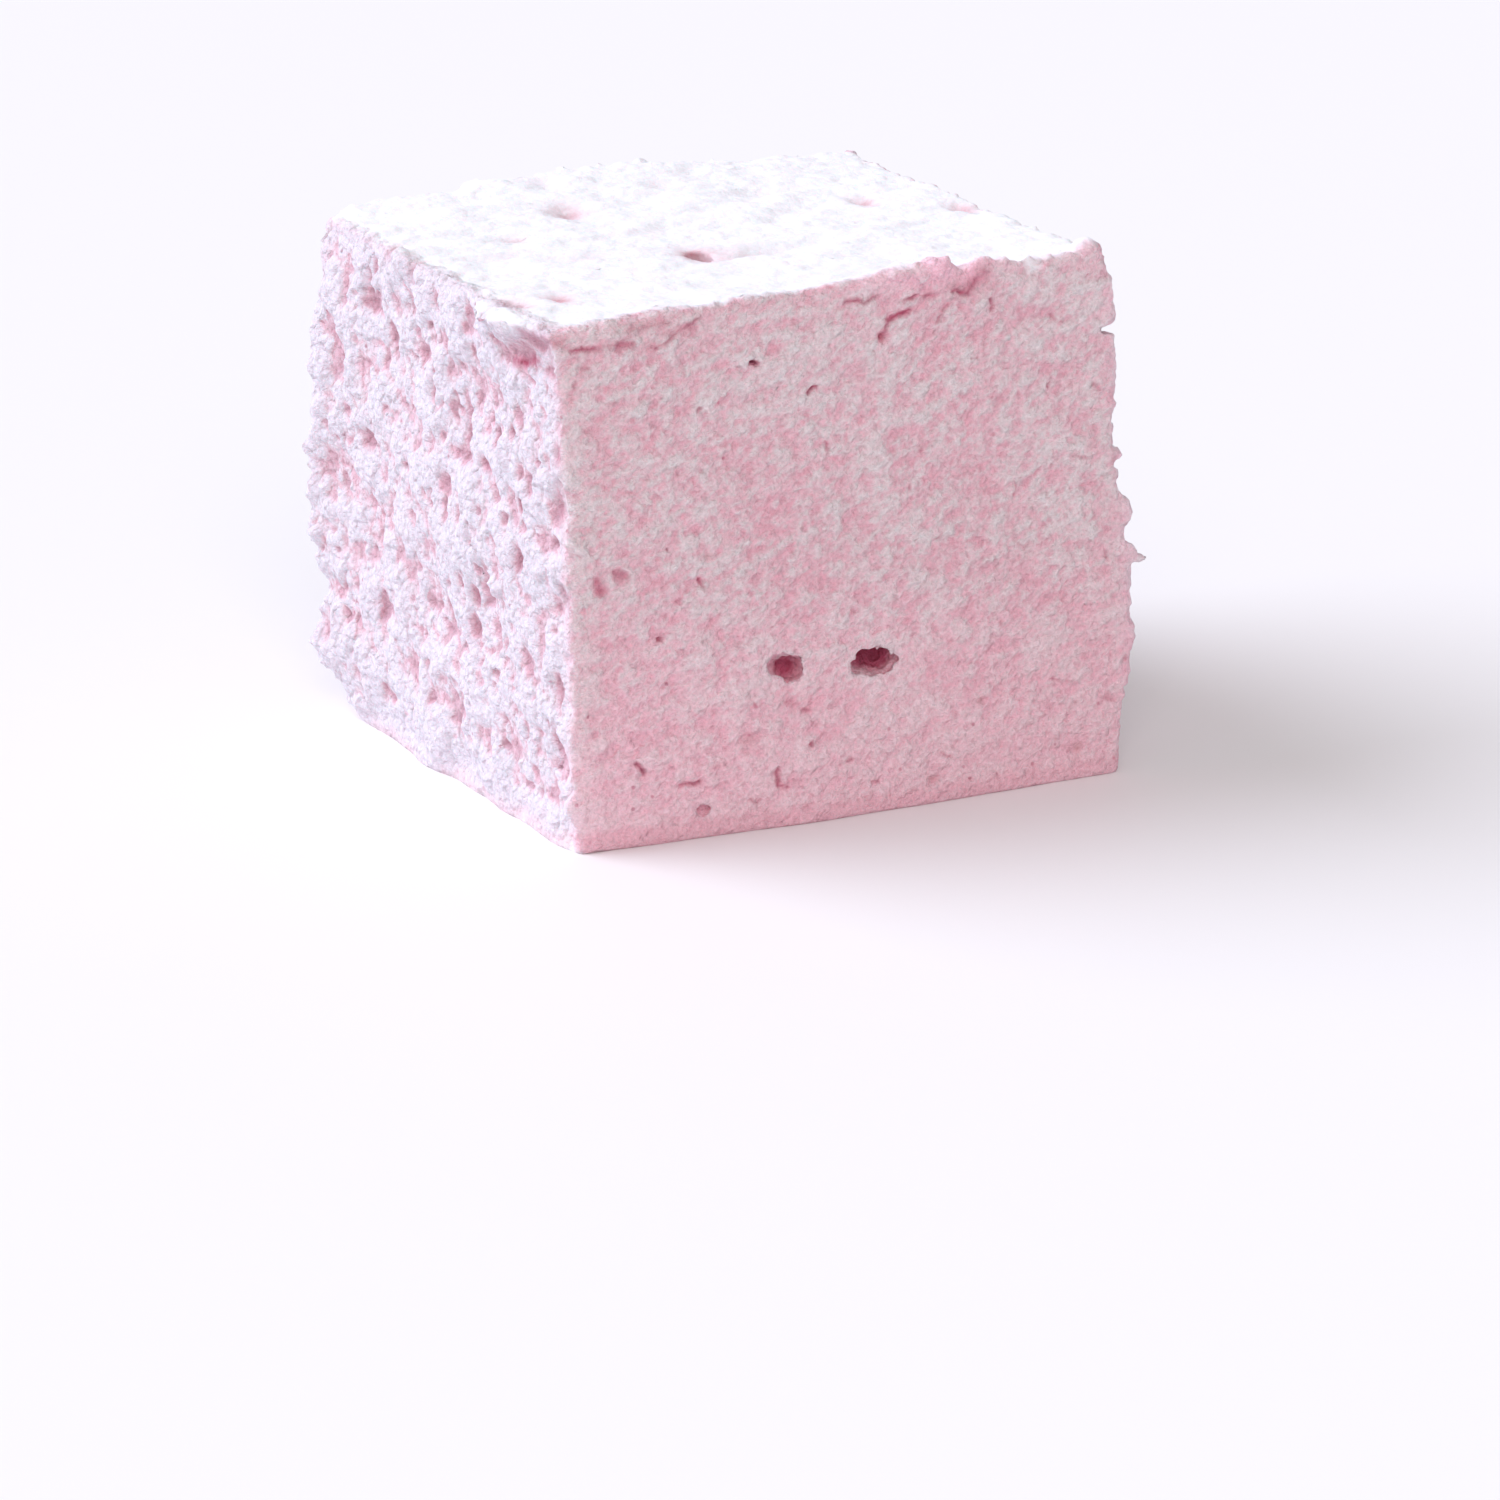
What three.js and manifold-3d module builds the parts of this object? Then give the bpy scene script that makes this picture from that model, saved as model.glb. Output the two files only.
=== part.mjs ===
// A hand-cut cube of whipped pink marshmallow, resting on its flat underside.
//
// Millimetres, +Z up, origin in the middle of the underside. The slab's own skin is on top, the
// smooth knife-cut side faces -Y, and the rough side, torn where the slab was pulled apart, faces -X.
// The cube is one solid: a box with hand-cut corners, whose surface is swollen, roughened and
// pitted by the air holes of the whipped foam.

import * as THREE from "three";
import { ImprovedNoise } from "three/addons/math/ImprovedNoise.js";
import { mergeVertices } from "three/addons/utils/BufferGeometryUtils.js";
import Module from "manifold-3d";

// Driving dimensions, in millimetres.
const width = 38; // along X: one cut of the knife to the next
const depth = 38; // along Y
const height = 33.2; // along Z: the thickness of the poured slab
const edgeRadius = 0.9; // how far the foam rounds off at an edge
const footSink = 0.35; // how much of the bottom edge's round the slab's own weight flattens
const gridStep = 1.45; // spacing of the surface grid
const tableThickness = 10; // the table that flattens the underside

const half = new THREE.Vector3(width / 2, depth / 2, (height + footSink) / 2);
const middle = new THREE.Vector3(0, 0, (height - footSink) / 2);

// How far the knife missed each corner of the true box: at the foot along X and Y, and at the top.
const cornerMisses = [
  { side: [-1, -1], foot: [0.6, 0.6, 0], top: [-0.05, -0.1, -0.3] },
  { side: [1, -1], foot: [-0.3, -0.7, 0], top: [-0.5, 0.4, 0.4] },
  { side: [-1, 1], foot: [-0.4, 0.5, 0], top: [0.3, -0.1, 0.1] },
  { side: [1, 1], foot: [0.2, 0.3, 0], top: [0.4, -0.2, -0.1] },
];

// Places where the soft block swells out or sinks in: centre, reach and push.
const swellings = [
  { at: [0, -19, 2], reach: [12, 6, 4], push: [0, -0.7, 0] }, // the cut side sags over its foot
  { at: [0, -19, 0.2], reach: [25, 3, 0.9], push: [0, -0.25, 0] }, // flare of the bottom skin
  { at: [19, -19, 12.5], reach: [5, 6, 7], push: [1.4, 0, 0] }, // belly of the front right edge
  { at: [19, -19, 26.5], reach: [4, 6, 4.2], push: [1.1, 0, 0] }, // and two swellings over and under it
  { at: [19, -19, 7], reach: [4, 5, 3.5], push: [0.5, 0, 0] },
  { at: [-19, -19, 20], reach: [5, 5, 10], push: [0.6, 0, 0] }, // the front left edge is pressed in
  { at: [-19, 19, 14], reach: [6, 6, 9], push: [-1.7, 0.3, 0] }, // belly of the back left edge
  { at: [-19, 19, 26.5], reach: [5, 6, 6], push: [-0.8, 0, 0] }, // and two swellings over and under it
  { at: [-19, 19, 4.2], reach: [4, 5, 2.2], push: [-1.2, 0, 0] },
  { at: [-2, 19, 33], reach: [13, 7, 8], push: [0, 1.1, 1.0] }, // hump the palette knife left on top
  { at: [-20, 20, -1], reach: [4, 4, 3.5], push: [1.4, -1.2, 0.9] }, // blunt corner at the foot
  { at: [-6, -19, 33], reach: [12, 4, 2], push: [0, 0, 0.55] }, // top skin rises to its front edge
  { at: [7.2, -19, 33], reach: [6, 1.8, 2], push: [0, -0.6, 1.3] }, // torn lip of the top skin
  { at: [18, -19, 31.4], reach: [3, 2.4, 1.8], push: [0, -0.3, 0.2] }, // loose lump beside the lip
  { at: [19, -19, 28.4], reach: [2.2, 2.2, 0.9], push: [-0.8, 0.4, 0] }, // notch under the lump
  { at: [-19, -14, 32], reach: [2.5, 5, 1.6], push: [-0.9, 0, 0.3] }, // skin rolled over the torn side
  { at: [-19, 15.5, 16.5], reach: [4, 2.6, 3], push: [1.2, 0, 0] }, // hollow far along the torn side
  { at: [3, -6, 33], reach: [4, 1.6, 3], push: [0, 0, -0.35] }, // furrow of the palette knife
];

// Height of the relief on each side, and the wavelengths that it is made of.
const reliefHeight = { top: 0.22, front: 0.14, left: 0.65, right: 0.26, back: 0.4 };
const waves = [
  { length: 7.5, share: 0.9 },
  { length: 3.3, share: 0.8 },
  { length: 1.9, share: 0.7 },
];
const edgeCrumble = 0.6; // height of the crumbs along an edge

// Air holes cut open on each side. across and up are measured on that side (X or Y, then Z; on
// top X, then Y); wide, tall and deep are the hole's own size.
const airHoles = {
  front: [
    { across: -4.0, up: 10.1, wide: 2.5, tall: 1.9, deep: 1.7 },
    { across: 1.8, up: 9.8, wide: 3.0, tall: 1.9, deep: 2.6 },
    { across: -16.6, up: 17.0, wide: 1.2, tall: 1.9, deep: 0.4 },
    { across: -15.1, up: 17.4, wide: 1.9, tall: 1.2, deep: 0.4 },
    { across: -10.2, up: 1.6, wide: 1.1, tall: 0.9, deep: 0.8 },
  ],
  left: [
    { across: 11.6, up: 19.8, wide: 2.6, tall: 1.8, deep: 1.5 },
    { across: -4.2, up: 23.6, wide: 1.9, tall: 4.2, deep: 1.0 },
    { across: -7.4, up: 22.0, wide: 2.6, tall: 1.2, deep: 0.9 },
    { across: -1.0, up: 18.6, wide: 1.8, tall: 2.6, deep: 0.8 },
    { across: -11.7, up: 17.2, wide: 1.7, tall: 2.1, deep: 0.9 },
    { across: -4.5, up: 11.0, wide: 1.5, tall: 1.9, deep: 0.8 },
    { across: 2.1, up: 4.8, wide: 1.7, tall: 1.4, deep: 0.6 },
    { across: -2.5, up: 5.3, wide: 1.4, tall: 1.4, deep: 0.7 },
    { across: -16.3, up: 6.6, wide: 1.5, tall: 2.4, deep: 0.8 },
    { across: 16.6, up: 6.0, wide: 2.4, tall: 2.2, deep: 0.7 },
    { across: 11.3, up: 29.6, wide: 1.6, tall: 3.2, deep: 0.8 },
    { across: -15.6, up: 30.8, wide: 4.6, tall: 2.4, deep: 1.7 },
  ],
  top: [
    { across: -2.4, up: -4.7, wide: 2.6, tall: 3.8, deep: 1.4 },
    { across: -5.1, up: 10.0, wide: 2.4, tall: 3.2, deep: 0.7 },
    { across: -17.2, up: -10.7, wide: 1.7, tall: 2.8, deep: 0.6 },
    { across: -14.7, up: -10.9, wide: 1.7, tall: 2.2, deep: 0.5 },
    { across: 13.3, up: 4.3, wide: 1.7, tall: 2.4, deep: 0.6 },
    { across: 17.1, up: -2.1, wide: 1.8, tall: 2.8, deep: 0.8 },
    { across: -4.0, up: 16.6, wide: 1.6, tall: 2.4, deep: 0.5 },
    { across: 2.8, up: 13.5, wide: 1.6, tall: 2.0, deep: 0.4 },
    { across: -18.4, up: 6.8, wide: 1.5, tall: 1.7, deep: 0.8 },
  ],
  right: [],
  back: [],
};

// The two sides turned away get the same kind of holes, scattered by a seeded draw.
const scattered = {
  seed: 11,
  holes: 6, // on each of those sides
  wide: [1.1, 2.8],
  tall: [0.7, 1.2], // as shares of the width
  deep: [0.4, 0.8],
  margin: 2.5, // from the edges of the side
  gap: 3.2, // between the middles of two holes
};

// A hole is cut with a lumpy bubble whose middle lies just under the skin, so that the hole's mouth
// is a little narrower than the hole.
const bubble = {
  coarseWidth: 2.45, // a narrower hole takes a coarser bubble
  radiusShare: 0.62, // its radius inwards and how far its middle lies in, as shares of the depth
  sunkShare: 0.38,
  unevenness: 0.28, // share of its radius
  lumpSize: 0.625, // in radii
};

const mergeDistance = 1e-4; // vertices nearer to each other than this are one
const noise = new ImprovedNoise();

const sides = {
  front: { axis: "y", sign: -1, across: "x", up: "z" },
  back: { axis: "y", sign: 1, across: "x", up: "z" },
  left: { axis: "x", sign: -1, across: "y", up: "z" },
  right: { axis: "x", sign: 1, across: "y", up: "z" },
  top: { axis: "z", sign: 1, across: "x", up: "y" },
};

// A point of the true box moved as the knife's misses at the eight corners say.
function moveToHandCut(point, boxPoint) {
  const share = boxPoint.clone().sub(middle).divide(half);
  const upShare = (share.z + 1) / 2;
  for (const { side, foot, top } of cornerMisses) {
    const weight = ((1 + side[0] * share.x) * (1 + side[1] * share.y)) / 4;
    point.addScaledVector(new THREE.Vector3(...foot), weight * (1 - upShare));
    point.addScaledVector(new THREE.Vector3(...top), weight * upShare);
  }
}

function moveBySwellings(point, boxPoint) {
  for (const { at, reach, push } of swellings) {
    const away = boxPoint.clone().sub(new THREE.Vector3(...at));
    away.divide(new THREE.Vector3(...reach));
    point.addScaledVector(new THREE.Vector3(...push), Math.exp(-away.lengthSq()));
  }
}

// The relief's height where the surface faces along normal, blended between the sides.
function reliefAt(boxPoint, normal) {
  let tallest = 0;
  for (const [name, { axis, sign }] of Object.entries(sides)) {
    tallest += Math.max(0, sign * normal[axis]) ** 2 * reliefHeight[name];
  }
  const flatness = Math.max(Math.abs(normal.x), Math.abs(normal.y), Math.abs(normal.z));
  tallest += edgeCrumble * (1 - flatness);
  let relief = 0;
  for (const { length, share } of waves) {
    relief += share * noise.noise(...boxPoint.clone().divideScalar(length).addScalar(length));
  }
  return tallest * relief;
}

// A point on the surface of the true box, moved to the surface of the soft block.
function skinPoint(boxPoint) {
  const inner = half.clone().subScalar(edgeRadius);
  const local = boxPoint.clone().sub(middle);
  const nearest = local.clone().clamp(inner.clone().negate(), inner);
  const normal = local.sub(nearest).normalize();
  const point = nearest.addScaledVector(normal, edgeRadius).add(middle);
  moveToHandCut(point, boxPoint);
  moveBySwellings(point, boxPoint);
  return point.addScaledVector(normal, reliefAt(boxPoint, normal));
}

// The point of the soft block at a place given on one side.
function placeOn(sideName, across, up) {
  const side = sides[sideName];
  const boxPoint = middle.clone();
  boxPoint[side.axis] += side.sign * half[side.axis];
  boxPoint[side.across] = across;
  boxPoint[side.up] = up;
  return skinPoint(boxPoint);
}

const wasm = await Module();
wasm.setup();

function solidOf(geometry) {
  geometry.deleteAttribute("normal");
  geometry.deleteAttribute("uv");
  const merged = mergeVertices(geometry, mergeDistance);
  return new wasm.Manifold(
    new wasm.Mesh({
      numProp: 3,
      vertProperties: new Float32Array(merged.attributes.position.array),
      triVerts: new Uint32Array(merged.index.array),
    }),
  );
}

function geometryOf(solid) {
  const mesh = solid.getMesh();
  const geometry = new THREE.BufferGeometry();
  geometry.setAttribute("position", new THREE.BufferAttribute(mesh.vertProperties, 3));
  geometry.setIndex(new THREE.BufferAttribute(mesh.triVerts, 1));
  return geometry;
}

function moveEachVertex(geometry, moved) {
  const positions = geometry.attributes.position;
  const vertex = new THREE.Vector3();
  for (let i = 0; i < positions.count; i++) {
    vertex.fromBufferAttribute(positions, i);
    positions.setXYZ(i, ...moved(vertex));
  }
}

function makeBlock() {
  const segments = half.clone().multiplyScalar(2 / gridStep).round();
  const box = new THREE.BoxGeometry(
    half.x * 2,
    half.y * 2,
    half.z * 2,
    segments.x,
    segments.y,
    segments.z,
  );
  box.translate(...middle);
  moveEachVertex(box, (vertex) => skinPoint(vertex));
  return solidOf(box);
}

function makeBubble(sideName, { across, up, wide, tall, deep }) {
  const side = sides[sideName];
  const geometry = new THREE.IcosahedronGeometry(1, wide < bubble.coarseWidth ? 1 : 2);
  const radii = new THREE.Vector3();
  radii[side.axis] = deep * bubble.radiusShare;
  radii[side.across] = wide / 2;
  radii[side.up] = tall / 2;
  const centre = placeOn(sideName, across, up);
  centre[side.axis] -= side.sign * deep * bubble.sunkShare;
  const offset = new THREE.Vector3(across, up, wide); // each bubble takes its own part of the noise
  moveEachVertex(geometry, (vertex) => {
    const at = vertex.clone().divideScalar(bubble.lumpSize).add(offset);
    const lump = 1 + bubble.unevenness * noise.noise(at.x, at.y, at.z);
    return vertex.clone().multiply(radii).multiplyScalar(lump).add(centre);
  });
  return solidOf(geometry);
}

function draw(low, high) {
  return THREE.MathUtils.lerp(low, high, THREE.MathUtils.seededRandom());
}

function scatterHoles(sideName) {
  const reach = half[sides[sideName].across] - scattered.margin;
  const holes = [];
  while (holes.length < scattered.holes) {
    const hole = { across: draw(-reach, reach), up: draw(scattered.margin, height - scattered.margin) };
    hole.wide = draw(...scattered.wide);
    hole.tall = hole.wide * draw(...scattered.tall);
    hole.deep = hole.wide * draw(...scattered.deep);
    const clear = holes.every(
      (other) => Math.hypot(other.across - hole.across, other.up - hole.up) > scattered.gap,
    );
    if (clear) holes.push(hole);
  }
  return holes;
}

// The table under the cube, which the soft underside lies flat on.
function makeTable() {
  const table = new THREE.BoxGeometry(width * 2, depth * 2, tableThickness);
  table.translate(0, 0, -tableThickness / 2);
  return solidOf(table);
}

function makeMarshmallow() {
  THREE.MathUtils.seededRandom(scattered.seed);
  airHoles.right = scatterHoles("right");
  airHoles.back = scatterHoles("back");
  let solid = makeBlock();
  for (const [sideName, holes] of Object.entries(airHoles)) {
    for (const hole of holes) {
      solid = solid.subtract(makeBubble(sideName, hole));
    }
  }
  solid = solid.subtract(makeTable());

  const geometry = geometryOf(solid);
  geometry.computeBoundingBox();
  const centre = geometry.boundingBox.getCenter(new THREE.Vector3());
  geometry.translate(-centre.x, -centre.y, -geometry.boundingBox.min.z);
  const foam = new THREE.MeshStandardMaterial({ color: 0xe3bcc8, roughness: 0.95, metalness: 0 });
  const mesh = new THREE.Mesh(geometry, foam);
  mesh.name = "marshmallow";
  return mesh;
}

const marshmallow = new THREE.Group();
marshmallow.add(makeMarshmallow());

export default marshmallow;
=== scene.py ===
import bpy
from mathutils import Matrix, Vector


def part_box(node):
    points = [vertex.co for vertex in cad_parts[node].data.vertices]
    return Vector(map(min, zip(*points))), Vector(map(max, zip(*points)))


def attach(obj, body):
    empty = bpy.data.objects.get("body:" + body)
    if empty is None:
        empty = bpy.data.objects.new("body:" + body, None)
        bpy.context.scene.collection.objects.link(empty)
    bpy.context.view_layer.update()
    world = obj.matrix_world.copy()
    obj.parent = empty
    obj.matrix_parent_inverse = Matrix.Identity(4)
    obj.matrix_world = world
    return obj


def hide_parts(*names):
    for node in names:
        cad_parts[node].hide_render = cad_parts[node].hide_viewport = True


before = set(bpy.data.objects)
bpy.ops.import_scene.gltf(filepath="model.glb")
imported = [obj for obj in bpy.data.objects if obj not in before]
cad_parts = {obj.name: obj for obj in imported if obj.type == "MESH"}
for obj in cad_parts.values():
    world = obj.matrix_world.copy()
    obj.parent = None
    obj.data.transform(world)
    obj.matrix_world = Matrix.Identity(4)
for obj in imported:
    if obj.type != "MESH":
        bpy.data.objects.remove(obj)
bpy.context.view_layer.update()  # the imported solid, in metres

import math
import random

import bmesh
import bpy
import numpy as np
from mathutils import Matrix, Vector, noise
from mathutils.bvhtree import BVHTree
from mathutils.kdtree import KDTree

mm = 0.001  # the cube is modelled in millimetres and made metres at the end
noiseSeed = 3  # for the vector noise, which would differ from run to run without it
noise.seed_set(noiseSeed)

# The cube's sides: the axis each one faces, which way, and the axes measured across and up it.
sides = {
    "top": {"axis": 2, "sign": 1, "across": 0, "up": 1},
    "front": {"axis": 1, "sign": -1, "across": 0, "up": 2},
    "back": {"axis": 1, "sign": 1, "across": 0, "up": 2},
    "left": {"axis": 0, "sign": -1, "across": 1, "up": 2},
    "right": {"axis": 0, "sign": 1, "across": 1, "up": 2},
    "under": {"axis": 2, "sign": -1, "across": 0, "up": 1},
}

block = {
    "bulge": Vector((2.839, 1.839, 1.406)),  # how far swellings stand out of the true box
    "edgeRadius": 0.7,
    "footSink": 0.35,  # how much of the bottom edge's round the weight flattens
    "cuts": 63,
    "cornerMisses": [  # side along x and y, then the miss at the foot and at the top
        ((-1, -1), (0.6, 0.6, 0), (-0.05, -0.1, -0.45)), ((1, -1), (-0.3, -0.7, 0), (-0.5, 0.4, 0.2)),
        ((-1, 1), (-0.4, 0.5, 0), (0.3, -0.1, 0.1)), ((1, 1), (0.2, 0.3, 0), (0.4, -0.2, -0.1)),
    ],
    "swellings": [  # centre, reach and push
        ((0, -19, 2), (12, 6, 4), (0, -0.7, 0)),  # the cut side sags over its foot
        ((0, -19, 0.2), (25, 3, 0.9), (0, -0.25, 0)),  # flare of the bottom skin
        ((19, -19, 12.5), (5, 6, 7), (1.4, 0, 0)),  # belly of the front right edge
        ((19, -19, 26.5), (4, 6, 4.2), (1.1, 0, 0)),  # and two smaller swellings over and under it
        ((19, -19, 7), (4, 5, 3.5), (0.5, 0, 0)),
        ((-19, -19, 20), (5, 5, 10), (0.6, 0, 0)),  # the front left edge is pressed in
        ((-19, 19, 14), (6, 6, 9), (-1.7, 0.3, 0)),  # belly of the back left edge
        ((-19, 19, 26.5), (5, 6, 6), (-0.8, 0, 0)),  # and two smaller swellings over and under it
        ((-19, 19, 4.2), (4, 5, 2.2), (-1.2, 0, 0)),
        ((-19, 19, 8.6), (4, 3, 1.1), (0.7, 0, 0)),  # with a small bay in it
        ((-2, 19, 33), (13, 7, 8), (0, 1.1, 1.0)),  # hump the palette knife left on top
        ((-20, 20, -1), (4, 4, 3.5), (1.4, -1.2, 0.9)),  # blunt corner at the foot
        ((-6, -19, 33), (12, 4, 2), (0, 0, 0.42)),  # top skin rises to its front edge
        ((7.2, -19, 33), (6, 1.8, 2), (0, -0.6, 1.1)),  # torn lip of the top skin
        ((9.1, -19, 33), (0.8, 1.5, 2), (0, 0, -0.9)),  # with a dip in it
        ((18, -19, 31.4), (3, 2.4, 1.8), (0.0, -0.3, 0.2)),  # loose lump beside the lip
        ((19, -19, 30.0), (3, 3, 1.6), (0.35, 0, 0)),
        ((-19, -14, 33), (2.5, 5, 1.1), (-0.8, 0, 0.2)),  # top skin rolled over the torn side
        ((-19, 15.5, 16.5), (4, 2.6, 3), (0.9, 0, 0)),  # hollow far along the torn side
        ((3, -6, 33), (4, 1.6, 3), (0, 0, -0.35)),  # furrow of the palette knife
    ],
    "relief": {"top": 0.22, "front": 0.14, "left": 0.65, "right": 0.26, "back": 0.4, "under": 0},
    "waves": [(7.5, 0.9), (3.3, 0.8)],  # wavelength and share of the relief
    "farthest": 3,  # of its reaches, beyond which a swelling is nothing
}

boxLow, boxHigh = (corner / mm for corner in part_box("marshmallow"))
half = (boxHigh - boxLow - block["bulge"]) / 2
half.z += block["footSink"] / 2
middle = Vector((0, 0, half.z - block["footSink"]))
topHeight = middle.z + half.z


# A point on the true box, moved to the skin of the soft block.
def skinPoint(boxPoint):
    inner = half - Vector((1, 1, 1)) * block["edgeRadius"]
    local = boxPoint - middle
    nearest = Vector([max(-limit, min(limit, c)) for limit, c in zip(inner, local)])
    normal = (local - nearest).normalized()
    point = nearest + normal * block["edgeRadius"] + middle
    share = [c / h for c, h in zip(local, half)]
    upShare = (share[2] + 1) / 2
    for side, foot, top in block["cornerMisses"]:
        weight = (1 + side[0] * share[0]) * (1 + side[1] * share[1]) / 4
        point += weight * Vector(foot).lerp(Vector(top), upShare)
    for at, reach, push in block["swellings"]:
        away = sum(((c - a) / r) ** 2 for c, a, r in zip(boxPoint, at, reach))
        if away < block["farthest"] ** 2:
            point += Vector(push) * math.exp(-away)
    tallest = 0
    for name, side in sides.items():
        tallest += max(0, side["sign"] * normal[side["axis"]]) ** 2 * block["relief"][name]
    relief = sum(part * noise.noise(boxPoint / length + Vector((length, 0, 0)))
                 for length, part in block["waves"])
    return point + normal * tallest * relief


def placeOn(sideName, across, up):
    side = sides[sideName]
    boxPoint = middle.copy()
    boxPoint[side["axis"]] += side["sign"] * half[side["axis"]]
    boxPoint[side["across"]] = across
    boxPoint[side["up"]] = up
    return skinPoint(boxPoint)


def makeObject(bm, name):
    mesh = bpy.data.meshes.new(name)
    bm.to_mesh(mesh)
    bm.free()
    obj = bpy.data.objects.new(name, mesh)
    bpy.context.scene.collection.objects.link(obj)
    return obj


def applyModifiers(obj):
    evaluated = obj.evaluated_get(bpy.context.evaluated_depsgraph_get())
    mesh = bpy.data.meshes.new_from_object(evaluated)
    obj.modifiers.clear()
    old = obj.data
    obj.data = mesh
    bpy.data.meshes.remove(old)


def fuse(obj, voxel, smoothings):
    remesh = obj.modifiers.new("fuse", "REMESH")
    remesh.mode = "VOXEL"
    remesh.voxel_size = voxel
    soften = obj.modifiers.new("soften", "SMOOTH")
    soften.factor = 0.5
    soften.iterations = smoothings
    applyModifiers(obj)


def makeBlock():
    bm = bmesh.new()
    bmesh.ops.create_cube(bm, size=2)
    bmesh.ops.subdivide_edges(bm, edges=bm.edges[:], cuts=block["cuts"], use_grid_fill=True)
    bmesh.ops.scale(bm, vec=half, verts=bm.verts)
    bmesh.ops.translate(bm, vec=middle, verts=bm.verts)
    for vert in bm.verts:
        vert.co = skinPoint(vert.co)
    return bm


# Air holes cut open on each side: place across and up it, how wide, tall and deep, and how many
# degrees they run upwards as they go in.
airHoles = {
    "seed": 5,
    "forms": 12,  # different lumps that the holes are copies of
    "subdivisions": 4,
    "unevenness": 0.18,
    "voxel": 0.13,
    "halfDepth": 0.62,  # shares of a hole's depth: half its bubble's own
    "middleDepth": 0.38,  # and how far under the skin the bubble's middle lies
    "front": [
        (-4.45, 10.05, 1.9, 1.4, 0.9, 25), (-3.5, 9.65, 1.8, 1.7, 1.7, 12), (1.5, 9.4, 2.3, 1.7, 2.1, 28),
        (2.35, 9.2, 2.2, 1.9, 2.6, 20), (3.4, 9.5, 0.8, 0.5, 1.0, 0), (-10.2, 1.7, 0.9, 0.7, 0.8, 20),
        (19.9, 28.2, 3.0, 0.9, 3.4, 0), (19.6, 31.35, 1.8, 0.7, 2.2, 0), (19.6, 22.5, 0.9, 0.5, 1.2, 0),
        (19.7, 7.3, 0.9, 0.5, 1.2, 0), (19.2, 5.2, 0.9, 0.5, 1.2, 0), (13.2, 34.2, 0.5, 0.6, 0.8, 0),
    ],
    "top": [
        (-2.5, -4.6, 1.8, 3.2, 1.6, 0),
    ],
    "right": [
        (1.0, 19.6, 1.7, 1.9, 1.0, 0), (-13.9, 17.5, 1.7, 1.6, 1.0, 0), (11.3, 14.3, 1.9, 1.9, 0.9, 0),
        (-10.6, 10.3, 1.4, 1.2, 0.9, 0), (10.1, 24.2, 1.3, 1.3, 0.6, 0), (-14.6, 23.4, 2.7, 2.3, 1.2, 0),
    ],
    "back": [
        (8.0, 12.3, 1.6, 1.6, 1.2, 0), (-11.8, 26.5, 2.2, 2.0, 0.9, 0), (0.1, 23.2, 1.1, 1.1, 0.5, 0),
        (-1.8, 20.4, 2.7, 2.5, 1.6, 0), (-4.9, 3.9, 2.0, 1.8, 1.4, 0), (-6.6, 18.1, 1.3, 1.5, 0.6, 0),
    ],
    "scattered": {"right": 20, "back": 34},  # small ones by chance
    "scatteredWidth": (0.5, 1.1),
    "scatteredTallness": (0.8, 1.9),  # shares of their width
    "scatteredDepth": (0.4, 0.8),
    "sideMargin": 1,
    "footMargin": 1.5,
}


# A few uneven round shapes, radius 1, that bubbles and crumbs are copies of.
def makeLumps(settings):
    rng = random.Random(settings["seed"])
    lumps = []
    for _ in range(settings["forms"]):
        bm = bmesh.new()
        bmesh.ops.create_icosphere(bm, subdivisions=settings["subdivisions"], radius=1)
        offset = Vector((rng.random(), rng.random(), rng.random())) * 60
        for vert in bm.verts:
            vert.co *= 1 + settings["unevenness"] * noise.fractal(vert.co * 1.1 + offset, 0.4, 2.2, 4)
        lump = bpy.data.meshes.new("lump")
        bm.to_mesh(lump)
        bm.free()
        lumps.append(lump)
    return lumps


def addCopy(bm, lump, place, radii, turn=None):
    copy = lump.copy()
    matrix = Matrix.Diagonal(radii).to_4x4()
    if turn:
        matrix = turn.to_4x4() @ matrix
    copy.transform(Matrix.Translation(place) @ matrix)
    bm.from_mesh(copy)
    bpy.data.meshes.remove(copy)


# A size by chance, seldom near the high end: the more so, the higher the power.
def chanceRadius(rng, low, high, power):
    return low + (high - low) * rng.random() ** power


def randomTurn(rng):
    axis = Vector((rng.gauss(0, 1), rng.gauss(0, 1), rng.gauss(0, 1))).normalized()
    return Matrix.Rotation(rng.uniform(0, math.tau), 3, axis)


def addBubble(bm, rng, lumps, sideName, across, up, wide, tall, deep, rise):
    side = sides[sideName]
    radii = Vector()
    radii[side["axis"]] = deep * airHoles["halfDepth"]
    radii[side["across"]] = wide / 2
    radii[side["up"]] = tall / 2
    inward, upward = Vector(), Vector()
    inward[side["axis"]] = -side["sign"]
    upward[side["up"]] = 1
    turn = Matrix.Rotation(math.radians(rise), 3, inward.cross(upward))
    centre = placeOn(sideName, across, up) + turn @ inward * deep * airHoles["middleDepth"]
    addCopy(bm, rng.choice(lumps), centre, radii, turn)


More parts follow.
